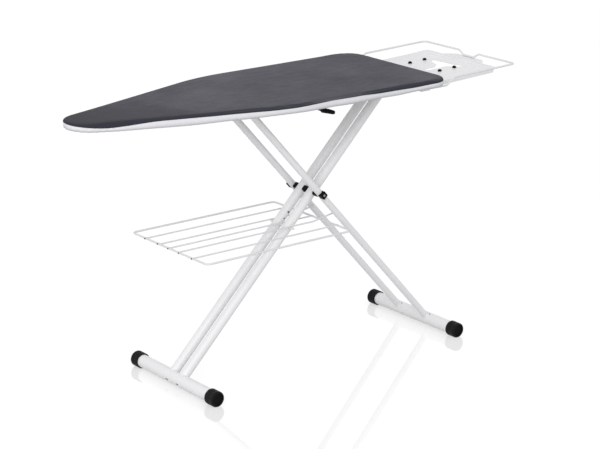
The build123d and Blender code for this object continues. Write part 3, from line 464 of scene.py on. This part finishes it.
# Place along X and height above the line's level, in mm, on the near side
NEAR_SEAM = (
    (-765, 0.0), (-660, -8.0), (-510, -0.2), (-400, -0.2), (-300, 0.7), (-150, 0.7), (0, 4.2), (90, 3.1),
    (190, -0.4), (320, -2.3), (380, -1.4),
)
NEAR_HEM = (
    (-760, 0.0), (-600, -4.2), (-450, -5.4), (-300, -2.0), (-180, 0.8), (0, 0.8), (60, -0.9), (180, 0.1),
    (240, -0.9), (320, 0.8), (370, 0.8), (410, 0.1),
)
NEAR_BLEND = 40 * MM
NEAR_CALM = 0.7
SLOW_WANDER = 0.9
SLOW_WAVE = 0.11
QUICK_WANDER = 0.5
QUICK_WAVE = 0.035
QUICK_SEED_STEP = 3.6
SEAM_SEED = 1.7
HEM_SEED = 4.4


def ripple(place, wave, seed):
    """Smooth irregular value from -1 to 1 along the closed edge."""
    turn = 2 * math.pi * place / EDGE_LENGTH
    radius = EDGE_LENGTH / (2 * math.pi * wave)
    return noise.noise(Vector((radius * math.cos(turn), radius * math.sin(turn), seed)))


def along(table, x):
    """Smooth value of a table of (x, value) in mm, held at its ends."""
    if x <= table[0][0]:
        return table[0][1]
    for (xa, va), (xb, vb) in zip(table, table[1:]):
        if x <= xb:
            f = (x - xa) / (xb - xa)
            return va + (vb - va) * f * f * (3 - 2 * f)
    return table[-1][1]


def wander(table, spot, seed):
    """How far a line of the cover strays from its level: as seen on the near side, gently elsewhere."""
    near = min(1.0, max(0.0, 0.5 - spot.y / NEAR_BLEND))
    loose = SLOW_WANDER * ripple(spot.place, SLOW_WAVE, seed)
    loose += QUICK_WANDER * ripple(spot.place, QUICK_WAVE, seed + QUICK_SEED_STEP)
    return (near * along(table, spot.x / MM) + (1 - NEAR_CALM * near) * loose) * MM


SEAM = [COVER_LOW.z + wander(NEAR_SEAM, spot, SEAM_SEED) for spot in EDGE]
HEM = [SKIRT_LOW.z + wander(NEAR_HEM, spot, HEM_SEED) for spot in EDGE]


# Padded cover: rolled edge, slightly crowned top, felt underside

TOP_Z = COVER_HIGH.z
FELT_Z = FOAM_LOW.z
FELT_INSET = 3 * MM
FELT_SHARES = (0.2, 0.5, 1.0)
TUCK_INSET = 2.4 * MM
SEAM_INSET = 0.9 * MM
SEAM_DIP = 0.1 * MM
EDGE_ROUND = 6.5 * MM
ROLL_STEPS = 8
FALL = 1.8 * MM
FALL_WIDTH = 24 * MM
FALL_STEPS = 8
TOP_SHARES = (0.04, 0.1, 0.18, 0.28, 0.39, 0.52, 0.66, 0.82, 1.0)
CROWN = 1.2 * MM
CROWN_RATE = 8
WAVE_SHARE = 0.45
WAVE_CELLS = 7.0
WAVE_SEED = 3.1
FINE_SHARE = 0.25
FINE_CELLS = 21.0
FINE_SEED = 8.4
HELD_EDGE_RINGS = 4
FILL_FRAMES = 20
FILL_PRESSURE = 0.6


def edge_ring(inset, heights):
    """Ring along the edge at an inset, with a height for each point."""
    ring = []
    for spot, z in zip(EDGE, heights):
        ring.append((spot.x - spot.nx * inset, spot.y - spot.ny * inset, z))
    return ring


def inner_ring(inset, share, z, swell):
    """Ring that closes in from the inset edge to the middle line, with uneven height."""
    ring = []
    for spot in EDGE:
        x = (spot.x - spot.nx * inset) * (1 - share) + spot.middle * share
        y = (spot.y - spot.ny * inset) * (1 - share)
        wave = WAVE_SHARE * noise.noise(Vector((x * WAVE_CELLS, y * WAVE_CELLS, WAVE_SEED)))
        wave += FINE_SHARE * noise.noise(Vector((x * FINE_CELLS, y * FINE_CELLS, FINE_SEED)))
        ring.append((x, y, z + swell * min(1.0, CROWN_RATE * share) * wave))
    return ring


def cover_rings():
    """Rings of the cover from the middle of the felt, round the edge, to the middle of the top."""
    rings = [inner_ring(FELT_INSET, share, FELT_Z, 0.0) for share in reversed(FELT_SHARES)]
    rings.append(edge_ring(FELT_INSET, [FELT_Z] * len(EDGE)))
    rings.append(edge_ring(TUCK_INSET, SEAM))
    rings.append(edge_ring(SEAM_INSET, [z - SEAM_DIP for z in SEAM]))
    top = TOP_Z - CROWN
    for i in range(ROLL_STEPS + 1):
        a = math.pi / 2 * i / ROLL_STEPS
        inset = EDGE_ROUND * (1 - math.cos(a))
        rings.append(edge_ring(inset, [z + (top - FALL - z) * math.sin(a) for z in SEAM]))
    for i in range(1, FALL_STEPS + 1):
        share = i / FALL_STEPS
        level = top - FALL * (1 - share) ** 2
        rings.append(edge_ring(EDGE_ROUND + FALL_WIDTH * share, [level] * len(EDGE)))
    rings += [inner_ring(EDGE_ROUND + FALL_WIDTH, share, top, CROWN) for share in TOP_SHARES]
    return rings


def fill_out(obj, frames, pressure, limit):
    """Short cloth run that lets the filling push the free part of a piece out, by a limit at most."""
    cloth = obj.modifiers.new("filling", "CLOTH")
    cloth.settings.quality = 5
    cloth.settings.use_pressure = True
    cloth.settings.uniform_pressure_force = pressure
    cloth.settings.vertex_group_mass = "held"
    cloth.settings.effector_weights.gravity = 0.0
    cloth.point_cache.frame_start = 1
    cloth.point_cache.frame_end = frames
    scene = bpy.context.scene
    for number in range(1, frames + 1):
        scene.frame_set(number)
    graph = bpy.context.evaluated_depsgraph_get()
    filled = [v.co.copy() for v in obj.evaluated_get(graph).data.vertices]
    obj.modifiers.remove(cloth)
    scene.frame_set(1)
    for vertex, place in zip(obj.data.vertices, filled):
        move = place - vertex.co
        if move.length > 0:
            vertex.co += move * (limit * math.tanh(move.length / limit) / move.length)


def make_cover():
    """Cover with its felt; what lies above the seam is free to be pushed out by the filling."""
    verts, faces = loft(cover_rings())
    felt_faces = len(FELT_SHARES) * len(EDGE)
    picks = [1] * felt_faces + [0] * (len(faces) - felt_faces)
    cover = piece("cover", verts, faces, "tabletop", "cover", [cover_cloth, felt], picks)
    held_points = (len(FELT_SHARES) + HELD_EDGE_RINGS) * len(EDGE)
    cover.vertex_groups.new(name="held").add(list(range(held_points)), 1.0, "REPLACE")
    weld_points(cover)
    fill_out(cover, FILL_FRAMES, FILL_PRESSURE, CROWN)
    cover.vertex_groups.clear()
    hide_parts("cover_top", "foam_pad")


make_cover()


# White hem: band under the seam, gathered under the rim, with a row of stitches

# Inset in mm, share of the way from hem to seam, weight of the folds
SKIRT_PROFILE = (
    (2.2, 1.02, 0.0), (1.2, 0.995, 0.05), (0.3, 0.94, 0.2), (0.0, 0.82, 0.4), (-0.1, 0.65, 0.6),
    (0.1, 0.44, 0.8), (0.6, 0.235, 0.9), (1.3, 0.11, 1.0), (2.2, 0.05, 1.0), (3.6, 0.02, 1.0),
    (5.5, 0.01, 1.0), (8.5, 0.006, 1.1), (12.5, 0.012, 1.2), (16.5, 0.024, 1.3), (19.5, 0.04, 1.4),
    (20.2, 0.076, 1.2),
)
SKIRT_SHEET = 0.9 * MM
GATHER = 0.55 * MM
GATHER_WAVE = 21 * MM
GATHER_SHIFT = 9 * MM
SHIFT_WAVE = 0.06
SHIFT_SEED = 2.2
GATHER_BASE = 0.45
GATHER_CHANGE = 0.5
CHANGE_WAVE = 0.09
CHANGE_SEED = 6.6
NOSE_GATHER = 0.9
NOSE_REACH = 160 * MM
TAIL_GATHER = 0.5
TAIL_REACH = 110 * MM
TURN_START = 1
TURN_WIDTH = 4
UNDER_FOLD = 0.7
STITCH_LEVEL = 0.84
STITCH_FOLD = 0.4
STITCH_PITCH = 4.2 * MM
STITCH_LENGTH = 2.9 * MM
STITCH_THICK = 0.35 * MM
STITCH_RISE = 0.5


def gather(place, x):
    """Fold of the gathered hem at a place along the edge, stronger around the nose and the tail."""
    shift = GATHER_SHIFT * ripple(place, SHIFT_WAVE, SHIFT_SEED)
    size = GATHER_BASE + GATHER_CHANGE * abs(ripple(place, CHANGE_WAVE, CHANGE_SEED))
    size += NOSE_GATHER * max(0.0, 1 - (x - COVER_LOW.x) / NOSE_REACH)
    size += TAIL_GATHER * max(0.0, 1 - (TAIL_X - x) / TAIL_REACH)
    return GATHER * size * math.sin(2 * math.pi * (place + shift) / GATHER_WAVE)


def skirt_ring(inset, level, weight):
    """One line of the hem around the table; its folds turn from outward to downward under the rim."""
    turn = min(1.0, max(0.0, (inset - TURN_START) / TURN_WIDTH))
    ring = []
    for spot, seam, hem in zip(EDGE, SEAM, HEM):
        fold = weight * gather(spot.place, spot.x)
        out = fold * (1 - turn) - inset * MM
        z = hem + (seam - hem) * level - fold * turn * UNDER_FOLD
        ring.append((spot.x + spot.nx * out, spot.y + spot.ny * out, z))
    return ring


def stitch_row(ring):
    """Points and faces of a row of stitches laid along a closed ring of points."""
    verts = []
    faces = []
    due = 0.0
    for i, spot in enumerate(EDGE):
        start = Vector(ring[i])
        gap = Vector(ring[(i + 1) % len(ring)]) - start
        step = gap.length
        ahead = gap / step
        outward = Vector((spot.nx, spot.ny, 0.0))
        across = outward.cross(ahead)
        while due < step:
            middle = start + ahead * due + outward * STITCH_THICK * STITCH_RISE
            first = len(verts)
            verts.append(middle - ahead * STITCH_LENGTH / 2 - outward * STITCH_THICK)
            for side in (outward, across, -outward, -across):
                verts.append(middle + side * STITCH_THICK)
            verts.append(middle + ahead * STITCH_LENGTH / 2 - outward * STITCH_THICK)
            for k in range(4):
                left = first + 1 + k
                right = first + 1 + (k + 1) % 4
                faces += [(first, right, left), (first + 5, left, right)]
            due += STITCH_PITCH
        due -= step
    return verts, faces


def make_skirt():
    """Hem with its thickness, and its stitches."""
    verts, faces = loft([skirt_ring(*line) for line in SKIRT_PROFILE])
    skirt = piece("skirt", verts, faces, "tabletop", "skirt", [skirt_cloth])
    weld_points(skirt)
    shell = skirt.modifiers.new("sheet", "SOLIDIFY")
    shell.thickness = SKIRT_SHEET
    shell.offset = -1.0
    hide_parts("cover_skirt")
    verts, faces = stitch_row(skirt_ring(0.0, STITCH_LEVEL, STITCH_FOLD))
    stitches = piece("hem_stitches", verts, faces, "tabletop", "skirt", [thread])
    weld_points(stitches)


make_skirt()


# Ribbed foot caps, in mm

FOOT_RADIUS = 20.0
CAP_SIDES = 72
CAP_BORE = FOOT_RADIUS + 0.1
CAP_END = 6.0
CAP_RIBS = 11
CAP_RIB_START = 4.0
CAP_RIB_PITCH = 2.0
CAP_EDGE = 4.0
CAP_EDGE_STEPS = 8
CAP_RECESS = 4.6
CAP_DISC_SHARE = 0.4
CAP_DISC_RISE = 0.1
# Depth below the cap's radius, and distance along the cap
CAP_MOUTH = ((0.9, 0.0), (0.2, 0.3), (0.0, 1.0), (0.0, 3.0))
CAP_GROOVE = ((0.0, 0.0), (0.3, 0.4), (0.3, 0.8), (0.0, 1.2))
# Depth below the cap's radius, and depth below its end
CAP_DISH = ((5.0, 0.0), (5.6, 0.5), (5.9, CAP_RECESS - 0.4), (6.5, CAP_RECESS))
CAP_DISH_BANDS = len(CAP_DISH) + 1


def cap_profile(radius, length):
    """Radius and distance from the mouth in mm, from the bore's bottom round to the middle of the end."""
    recess = length - CAP_RECESS
    out = [(0.0, length - CAP_END), (CAP_BORE, length - CAP_END), (CAP_BORE, 0.0)]
    out += [(radius - depth, reach) for depth, reach in CAP_MOUTH]
    for i in range(CAP_RIBS):
        start = CAP_RIB_START + i * CAP_RIB_PITCH
        out += [(radius - depth, start + reach) for depth, reach in CAP_GROOVE]
    for i in range(CAP_EDGE_STEPS + 1):
        a = math.pi / 2 * i / CAP_EDGE_STEPS
        out.append((radius - CAP_EDGE * (1 - math.cos(a)), length - CAP_EDGE * (1 - math.sin(a))))
    out += [(radius - depth, length - sink) for depth, sink in CAP_DISH]
    out += [(radius * CAP_DISC_SHARE, recess), (0.0, recess + CAP_DISC_RISE)]
    return out


def foot_cap(node_name, body):
    """Turned cap over the end of a floor tube, flat on the floor; its sides take a lighter black as painted
    light, and its dished end a darker black as painted shade.
    """
    low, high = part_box(node_name)
    side = 1 if low.y > 0 else -1
    radius = (high.x - low.x) / 2
    x = (low.x + high.x) / 2
    z = high.z - radius
    mouth = low.y if side > 0 else high.y
    rings = []
    for r, reach in cap_profile(radius / MM, (high.y - low.y) / MM):
        ring = []
        for i in range(CAP_SIDES):
            a = 2 * math.pi * i / CAP_SIDES
            px = x + r * MM * math.cos(a)
            pz = max(low.z, z + r * MM * math.sin(a))
            ring.append((px, mouth + side * reach * MM, pz))
        rings.append(ring)
    verts, faces = loft(rings)
    # The dished end takes the darker black as painted shade in the recess.
    dish_faces = CAP_DISH_BANDS * CAP_SIDES
    picks = [0] * (len(faces) - dish_faces) + [1] * dish_faces
    cap = piece(node_name.replace("foot_cap", "ribbed_cap"), verts, faces, body, "black_plastic",
                [cap_rubber, black_plastic], picks)
    weld_points(cap)
    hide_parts(node_name)


for letter in "ab":
    for word in SIDES:
        foot_cap(f"foot_cap_{letter}_{word}", f"leg_{letter}")


# Bumpers of the iron rest

BUMPER_RADIUS = 5.5 * MM
BUMPER_HEIGHT = 4 * MM
TRAY_TILT = math.radians(2.4)
# Radius and height in mm
BUMPER_PROFILE = (
    (0.0, -0.2), (6.0, -0.1), (6.3, 0.5), (6.3, 2.0), (6.0, 3.5), (5.1, 4.9), (3.6, 5.9), (1.8, 6.4),
    (0.0, 6.5),
)


def make_bumpers():
    """Four domes where the solid bumpers stand, square to the tilted tray."""
    low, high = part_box("rest_bumpers")
    across = Vector((math.cos(TRAY_TILT), 0.0, math.sin(TRAY_TILT)))
    lift = Vector((-math.sin(TRAY_TILT), 0.0, math.cos(TRAY_TILT)))
    domes = []
    for x, z in ((low.x + BUMPER_RADIUS, low.z), (high.x - BUMPER_RADIUS, high.z - BUMPER_HEIGHT)):
        for y in (low.y + BUMPER_RADIUS, high.y - BUMPER_RADIUS):
            domes.append(turned(Vector((x, y, z)), lift, across, BUMPER_PROFILE))
    bumpers = piece("domed_bumpers", *joined(domes), "tabletop", "silicone", [silicone])
    weld_points(bumpers)
    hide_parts("rest_bumpers")


make_bumpers()


# Grip of the release lever

GRIP_YAW = math.radians(19.0)
GRIP_START_Y = -169 * MM
GRIP_LIFT = 1.0
GRIP_LIFT_RATE = 3
GRIP_SAG = 2.0
GRIP_POWER = 3
# Distance from the neck, half width and half height in mm
GRIP_PROFILE = (
    (0.0, 0.0, 0.0), (0.0, 3.4, 3.4), (0.4, 3.6, 3.6), (2.4, 3.8, 3.8), (3.2, 5.0, 4.8), (4.0, 6.2, 6.0),
    (6.0, 6.9, 6.7), (14.0, 7.1, 6.9), (26.0, 6.9, 6.6), (36.0, 6.4, 6.1), (42.0, 6.0, 5.6),
    (45.0, 5.3, 4.9), (46.5, 4.1, 3.7), (47.2, 2.0, 1.8), (47.3, 0.0, 0.0),
)


def grip_ring(middle, across, half_width, half_height):
    """Upright ring between a round and a square one."""
    ring = []
    for i in range(ROUND_SIDES):
        a = 2 * math.pi * i / ROUND_SIDES
        c = math.cos(a)
        s = math.sin(a)
        swell = 1 / (abs(c) ** GRIP_POWER + abs(s) ** GRIP_POWER) ** (1 / GRIP_POWER)
        point = middle + across * half_width * swell * c * MM
        ring.append(point + Vector((0.0, 0.0, half_height * swell * s * MM)))
    return ring


def make_grip():
    """Rounded bar that widens from its neck and sags to its tip."""
    pin = middle_of("lever_pin")
    start = Vector((pin.x, GRIP_START_Y, pin.z))
    ahead = Vector((math.sin(GRIP_YAW), -math.cos(GRIP_YAW), 0.0))
    across = Vector((math.cos(GRIP_YAW), math.sin(GRIP_YAW), 0.0))
    length = GRIP_PROFILE[-1][0]
    rings = []
    for reach, half_width, half_height in GRIP_PROFILE:
        share = reach / length
        rise = GRIP_LIFT * min(1.0, GRIP_LIFT_RATE * share) - GRIP_SAG * share**2
        middle = start + ahead * reach * MM + Vector((0.0, 0.0, rise * MM))
        rings.append(grip_ring(middle, across, half_width, half_height))
    grip = piece("moulded_grip", *loft(rings), "lever", "black_plastic", [black_plastic])
    weld_points(grip)
    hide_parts("lever_grip")


make_grip()


# Weld beads

WELD_SIDES = 8
WELD_STEPS = 72
FOOT_WELD = 1.6 * MM
SHELF_WELD = 0.9 * MM
FRAME_WIRE_RADIUS = 3 * MM
SHELF_WIRE_RADIUS = 2.3 * MM
# Share of a bead's thickness, waves round the tube and shift
WELD_RIPPLES = ((0.16, 19, 0.0), (0.12, 7, 1.0))
SHELF_LOW, SHELF_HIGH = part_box("shelf_frame")
SHELF_LEVEL = SHELF_LOW.z + FRAME_WIRE_RADIUS
CROSSING = middle_of("pivot_bolt")
CROSSING.y = 0.0


def weld_bead(bar, bar_radius, ahead, tube_radius, thick):
    """Bead where a tube meets a bar along Y: bar is a point on its line, ahead the tube's direction."""
    up = ahead.cross(SIDEWAYS)
    line = []
    for i in range(WELD_STEPS):
        a = 2 * math.pi * i / WELD_STEPS
        spoke = SIDEWAYS * math.cos(a) + up * math.sin(a)
        reach = math.sqrt(bar_radius**2 - (tube_radius * math.sin(a)) ** 2)
        line.append((bar + ahead * reach + spoke * tube_radius, spoke, a))
    rings = []
    for i, (point, spoke, a) in enumerate(line):
        along_line = (line[(i + 1) % WELD_STEPS][0] - line[i - 1][0]).normalized()
        other = along_line.cross(spoke).normalized()
        ripples = sum(share * math.sin(waves * a + shift) for share, waves, shift in WELD_RIPPLES)
        size = thick * (1 + ripples)
        ring = []
        for k in range(WELD_SIDES):
            b = 2 * math.pi * k / WELD_SIDES
            ring.append(point + (spoke * math.cos(b) + other * math.sin(b)) * size)
        rings.append(ring)
    rings.append(rings[0])
    return loft(rings)


def foot_welds(letter):
    """Beads where the two tubes of a leg meet its foot bar."""
    foot = middle_of(f"foot_tube_{letter}")
    foot_low, foot_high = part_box(f"foot_tube_{letter}")
    foot_radius = (foot_high.z - foot_low.z) / 2
    ahead = (CROSSING - foot).normalized()
    beads = []
    for word in SIDES:
        low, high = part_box(f"leg_{letter}_tube_{word}")
        bar = Vector((foot.x, (low.y + high.y) / 2, foot.z))
        beads.append(weld_bead(bar, foot_radius, ahead, (high.y - low.y) / 2, FOOT_WELD))
    welds = piece(f"foot_welds_{letter}", *joined(beads), f"leg_{letter}", "white_steel", [powder_coat])
    weld_points(welds)


def shelf_ends(inset):
    """Place and inward direction of each wire's end at the shelf's end bars; hooks end at one bar alone."""
    out = []
    for word in ("wire_near", "wire_mid", "wire_far", "hook_near", "hook_far"):
        y = middle_of(f"shelf_{word}").y
        out.append((Vector((SHELF_LOW.x + inset, y, SHELF_LEVEL)), LENGTHWISE))
        if word.startswith("wire"):
            out.append((Vector((SHELF_HIGH.x - inset, y, SHELF_LEVEL)), -LENGTHWISE))
    return out


def shelf_welds():
    """Beads where the shelf's wires meet its end bars."""
    beads = []
    for place, inward in shelf_ends(FRAME_WIRE_RADIUS):
        beads.append(weld_bead(place, FRAME_WIRE_RADIUS, inward, SHELF_WIRE_RADIUS, SHELF_WELD))
    welds = piece("shelf_welds", *joined(beads), "shelf", "white_steel", [shaded_wire_coat])
    weld_points(welds)


for letter in "ab":
    foot_welds(letter)
shelf_welds()


# Painted shade at wire ends, vent holes and slits, and rivets

STUD_SIDES = 24
# Share of the stud's half size, and share of its height
STUD_PROFILE = ((0.0, -0.4), (1.0, -0.4), (1.0, 0.3), (0.93, 0.65), (0.75, 0.88), (0.4, 1.0), (0.0, 1.0))
# Length, width and height
WIRE_STUB = (4.7 * MM, 4.6 * MM, 3.4 * MM)
STUB_INSET = 0.3 * MM
# Size of the black studs that stand for the shade in the vent holes
VENT_SHADE_SIZE = (4.6 * MM, 4.4 * MM, 0.6 * MM)
VENT_PLACES = ((55 * MM, 109.0), (-81 * MM, 105.0))
DRAIN_PLACES = ((21.4 * MM, 12.5 * MM), (-32.2 * MM, 12.0 * MM))
DRAIN_DEGREES = -166.0
DRAIN_WIDTH = 2.9 * MM
DRAIN_HEIGHT = 0.4 * MM
# Distance back from the crossing and width of each head
RIVETS = ((62.5 * MM, 7.0 * MM), (79.5 * MM, 4.4 * MM))
RIVET_FALL = 1.014
RIVET_HEIGHT = 1.4 * MM
RIVET_STRETCH = 0.2 * MM


def stud(middle, outward, ahead, length, width, height):
    """Low rounded stud, long in one direction, that stands on a surface."""
    across = outward.cross(ahead)
    straight = (length - width) / 2
    rings = []
    for share, rise in STUD_PROFILE:
        ring = []
        for i in range(STUD_SIDES):
            a = 2 * math.pi * (i + 0.5) / STUD_SIDES
            c = math.cos(a)
            s = math.sin(a)
            reach = math.copysign(straight, c) * share + width / 2 * share * c
            ring.append(middle + ahead * reach + across * width / 2 * share * s + outward * rise * height)
        rings.append(ring)
    return loft(rings)


def on_foot(letter, y, degrees):
    """Point on a foot tube at y, and the outward direction there; 0 degrees faces +X."""
    foot = middle_of(f"foot_tube_{letter}")
    a = math.radians(degrees)
    outward = Vector((math.cos(a), 0.0, math.sin(a)))
    return Vector((foot.x, y, foot.z)) + outward * FOOT_RADIUS * MM, outward


def studs_piece(name, studs, body, slot, mat):
    """One piece of several studs."""
    weld_points(piece(name, *joined(studs), body, slot, [mat]))


def wire_ends():
    """Dark studs on the ends of the shelf's wires outside its end bars, as painted shade on the wires' end
    faces.
    """
    # Painted shade: dark studs stand for the shaded end faces of the wires.
    studs = [stud(place, -inward, SIDEWAYS, *WIRE_STUB) for place, inward in shelf_ends(STUB_INSET)]
    studs_piece("wire_ends", studs, "shelf", "plated_steel", bare_steel_and_shade)


def vent_hole_shades():
    """Round black studs on top of foot bar B, as painted shade in its two vent holes."""
    # Painted shade: black studs where the vent holes show dark.
    studs = [stud(*on_foot("b", y, degrees), SIDEWAYS, *VENT_SHADE_SIZE) for y, degrees in VENT_PLACES]
    studs_piece("vent_hole_shades", studs, "leg_b", "black_plastic", black_plastic)


def drain_slit_shades():
    """Long black studs on the front of foot bar A, as painted shade in its two dark slits."""
    # Painted shade: black studs where the slits show dark.
    studs = []
    for y, length in DRAIN_PLACES:
        studs.append(stud(*on_foot("a", y, DRAIN_DEGREES), SIDEWAYS, length, DRAIN_WIDTH, DRAIN_HEIGHT))
    studs_piece("drain_slit_shades", studs, "leg_a", "black_plastic", black_plastic)


def rivet_heads():
    """Two rivets on the inner wall of each tube of leg A, below the crossing."""
    studs = []
    for word, facing in zip(SIDES, (1.0, -1.0)):
        low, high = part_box(f"leg_a_tube_{word}")
        wall = high.y if facing > 0 else low.y
        for back, width in RIVETS:
            spot = Vector((CROSSING.x - back, wall, CROSSING.z - RIVET_FALL * back))
            size = (width + RIVET_STRETCH, width, RIVET_HEIGHT)
            studs.append(stud(spot, SIDEWAYS * facing, LENGTHWISE, *size))
    studs_piece("rivet_heads", studs, "leg_a", "plated_steel", bare_steel_and_shade)


wire_ends()
vent_hole_shades()
drain_slit_shades()
rivet_heads()


# Light and floor

WHITE = (1.0, 1.0, 1.0, 1.0)
LAMP_TARGET = Vector((0.0, 0.0, 0.5))
SKY_COLOUR = (0.985, 0.99, 1.0, 1.0)
SKY_STRENGTH = 0.78
FLOOR_HALF = 9.0
FLOOR_SHADE = (0.30, 0.30, 0.30, 1.0)
FLOOR_GLOW = 0.77
FLOOR_SHINE = 0.22
FLOOR_ROUGHNESS = 0.03
FLOOR_BOUNCE = (0.58, 0.58, 0.58, 1.0)


def lamp(name, place, size, power, colour):
    """Square soft lamp that faces the middle of the object."""
    light = bpy.data.lights.new(name, "AREA")
    light.shape = "SQUARE"
    light.size = size
    light.energy = power
    light.color = colour
    obj = bpy.data.objects.new(name, light)
    obj.location = place
    obj.rotation_euler = (LAMP_TARGET - Vector(place)).to_track_quat("-Z", "Y").to_euler()
    bpy.context.scene.collection.objects.link(obj)


def seen_rays(tree):
    """One for rays that show what the viewer sees, 0 for those that gather light."""
    path = tree.nodes.new("ShaderNodeLightPath").outputs
    inputs = {0: path["Is Camera Ray"], 1: path["Is Glossy Ray"]}
    seen = add(tree, "ShaderNodeMath", inputs, operation="MAXIMUM").outputs[0]
    inputs = {0: seen, 1: path["Is Transmission Ray"]}
    return add(tree, "ShaderNodeMath", inputs, operation="MAXIMUM").outputs[0]


def mixed(tree, factor, first, second):
    """Shader between two shaders."""
    inputs = {0: factor, 1: first.outputs[0], 2: second.outputs[0]}
    return add(tree, "ShaderNodeMixShader", inputs)


def studio_world():
    """Even light from all round, which shows as a white background."""
    world = bpy.data.worlds.new("studio")
    bpy.context.scene.world = world
    tree = blank_tree(world)
    light = add(tree, "ShaderNodeBackground", {"Color": SKY_COLOUR, "Strength": SKY_STRENGTH})
    white = add(tree, "ShaderNodeBackground", {"Color": WHITE, "Strength": 1.0})
    both = mixed(tree, seen_rays(tree), light, white)
    sky = tree.nodes.new("ShaderNodeOutputWorld")
    tree.links.new(both.outputs[0], sky.inputs["Surface"])


def floor_white():
    """Floor material: near white with soft shadows and a faint mirror image, and a grey bounce of light."""
    mat = bpy.data.materials.new("floor_white")
    tree = blank_tree(mat)
    soft = add(tree, "ShaderNodeBsdfDiffuse", {"Color": FLOOR_SHADE})
    glow = add(tree, "ShaderNodeEmission", {"Color": WHITE, "Strength": FLOOR_GLOW})
    lit = add(tree, "ShaderNodeAddShader", {0: soft.outputs[0], 1: glow.outputs[0]})
    shine = add(tree, "ShaderNodeBsdfGlossy", {"Color": WHITE, "Roughness": FLOOR_ROUGHNESS})
    shown = mixed(tree, FLOOR_SHINE, lit, shine)
    bounce = add(tree, "ShaderNodeBsdfDiffuse", {"Color": FLOOR_BOUNCE})
    both = mixed(tree, seen_rays(tree), bounce, shown)
    out = tree.nodes.new("ShaderNodeOutputMaterial")
    tree.links.new(both.outputs[0], out.inputs["Surface"])
    return mat


def studio_floor():
    """Wide square floor under the feet."""
    mesh = bpy.data.meshes.new("floor")
    corners = [(x * FLOOR_HALF, y * FLOOR_HALF, 0) for x, y in ((-1, -1), (1, -1), (1, 1), (-1, 1))]
    mesh.from_pydata(corners, [], [(0, 1, 2, 3)])
    mesh.materials.append(floor_white())
    floor = bpy.data.objects.new("floor", mesh)
    bpy.context.scene.collection.objects.link(floor)


lamp("key", place=(-4.5, -3.75, 3.05), size=4.5, power=178.0, colour=(1.0, 0.99, 0.98))
lamp("fill", place=(2.8, -2.0, 2.2), size=2.2, power=3.0, colour=(0.97, 0.98, 1.0))
studio_world()
studio_floor()


# Camera, as fitted to the photo

CAMERA_PLACE = (-3.4584, -4.4947, 2.1970)
CAMERA_TURN = math.radians(38.09)
CAMERA_DIP = math.radians(17.34)
CAMERA_ROLL = math.radians(0.21)
FOCAL_PIXELS = 1956.21
IMAGE_WIDTH = 600
SENSOR_WIDTH = 36.0


def photo_camera():
    """Camera at the photo's place, turned, dipped and rolled as the photo's was."""
    level = math.cos(CAMERA_DIP)
    ahead = Vector((math.sin(CAMERA_TURN) * level, math.cos(CAMERA_TURN) * level, -math.sin(CAMERA_DIP)))
    flat_right = Vector((math.cos(CAMERA_TURN), -math.sin(CAMERA_TURN), 0.0))
    flat_up = flat_right.cross(ahead)
    right = flat_right * math.cos(CAMERA_ROLL) + flat_up * math.sin(CAMERA_ROLL)
    up = flat_up * math.cos(CAMERA_ROLL) - flat_right * math.sin(CAMERA_ROLL)
    lens = bpy.data.cameras.new("camera")
    lens.sensor_fit = "HORIZONTAL"
    lens.sensor_width = SENSOR_WIDTH
    lens.lens = SENSOR_WIDTH * FOCAL_PIXELS / IMAGE_WIDTH
    camera = bpy.data.objects.new("camera", lens)
    axes = Matrix([[right[i], up[i], -ahead[i]] for i in range(3)])
    camera.matrix_world = Matrix.Translation(CAMERA_PLACE) @ axes.to_4x4()
    bpy.context.scene.collection.objects.link(camera)
    bpy.context.scene.camera = camera


photo_camera()
bpy.context.scene.view_settings.view_transform = "Standard"
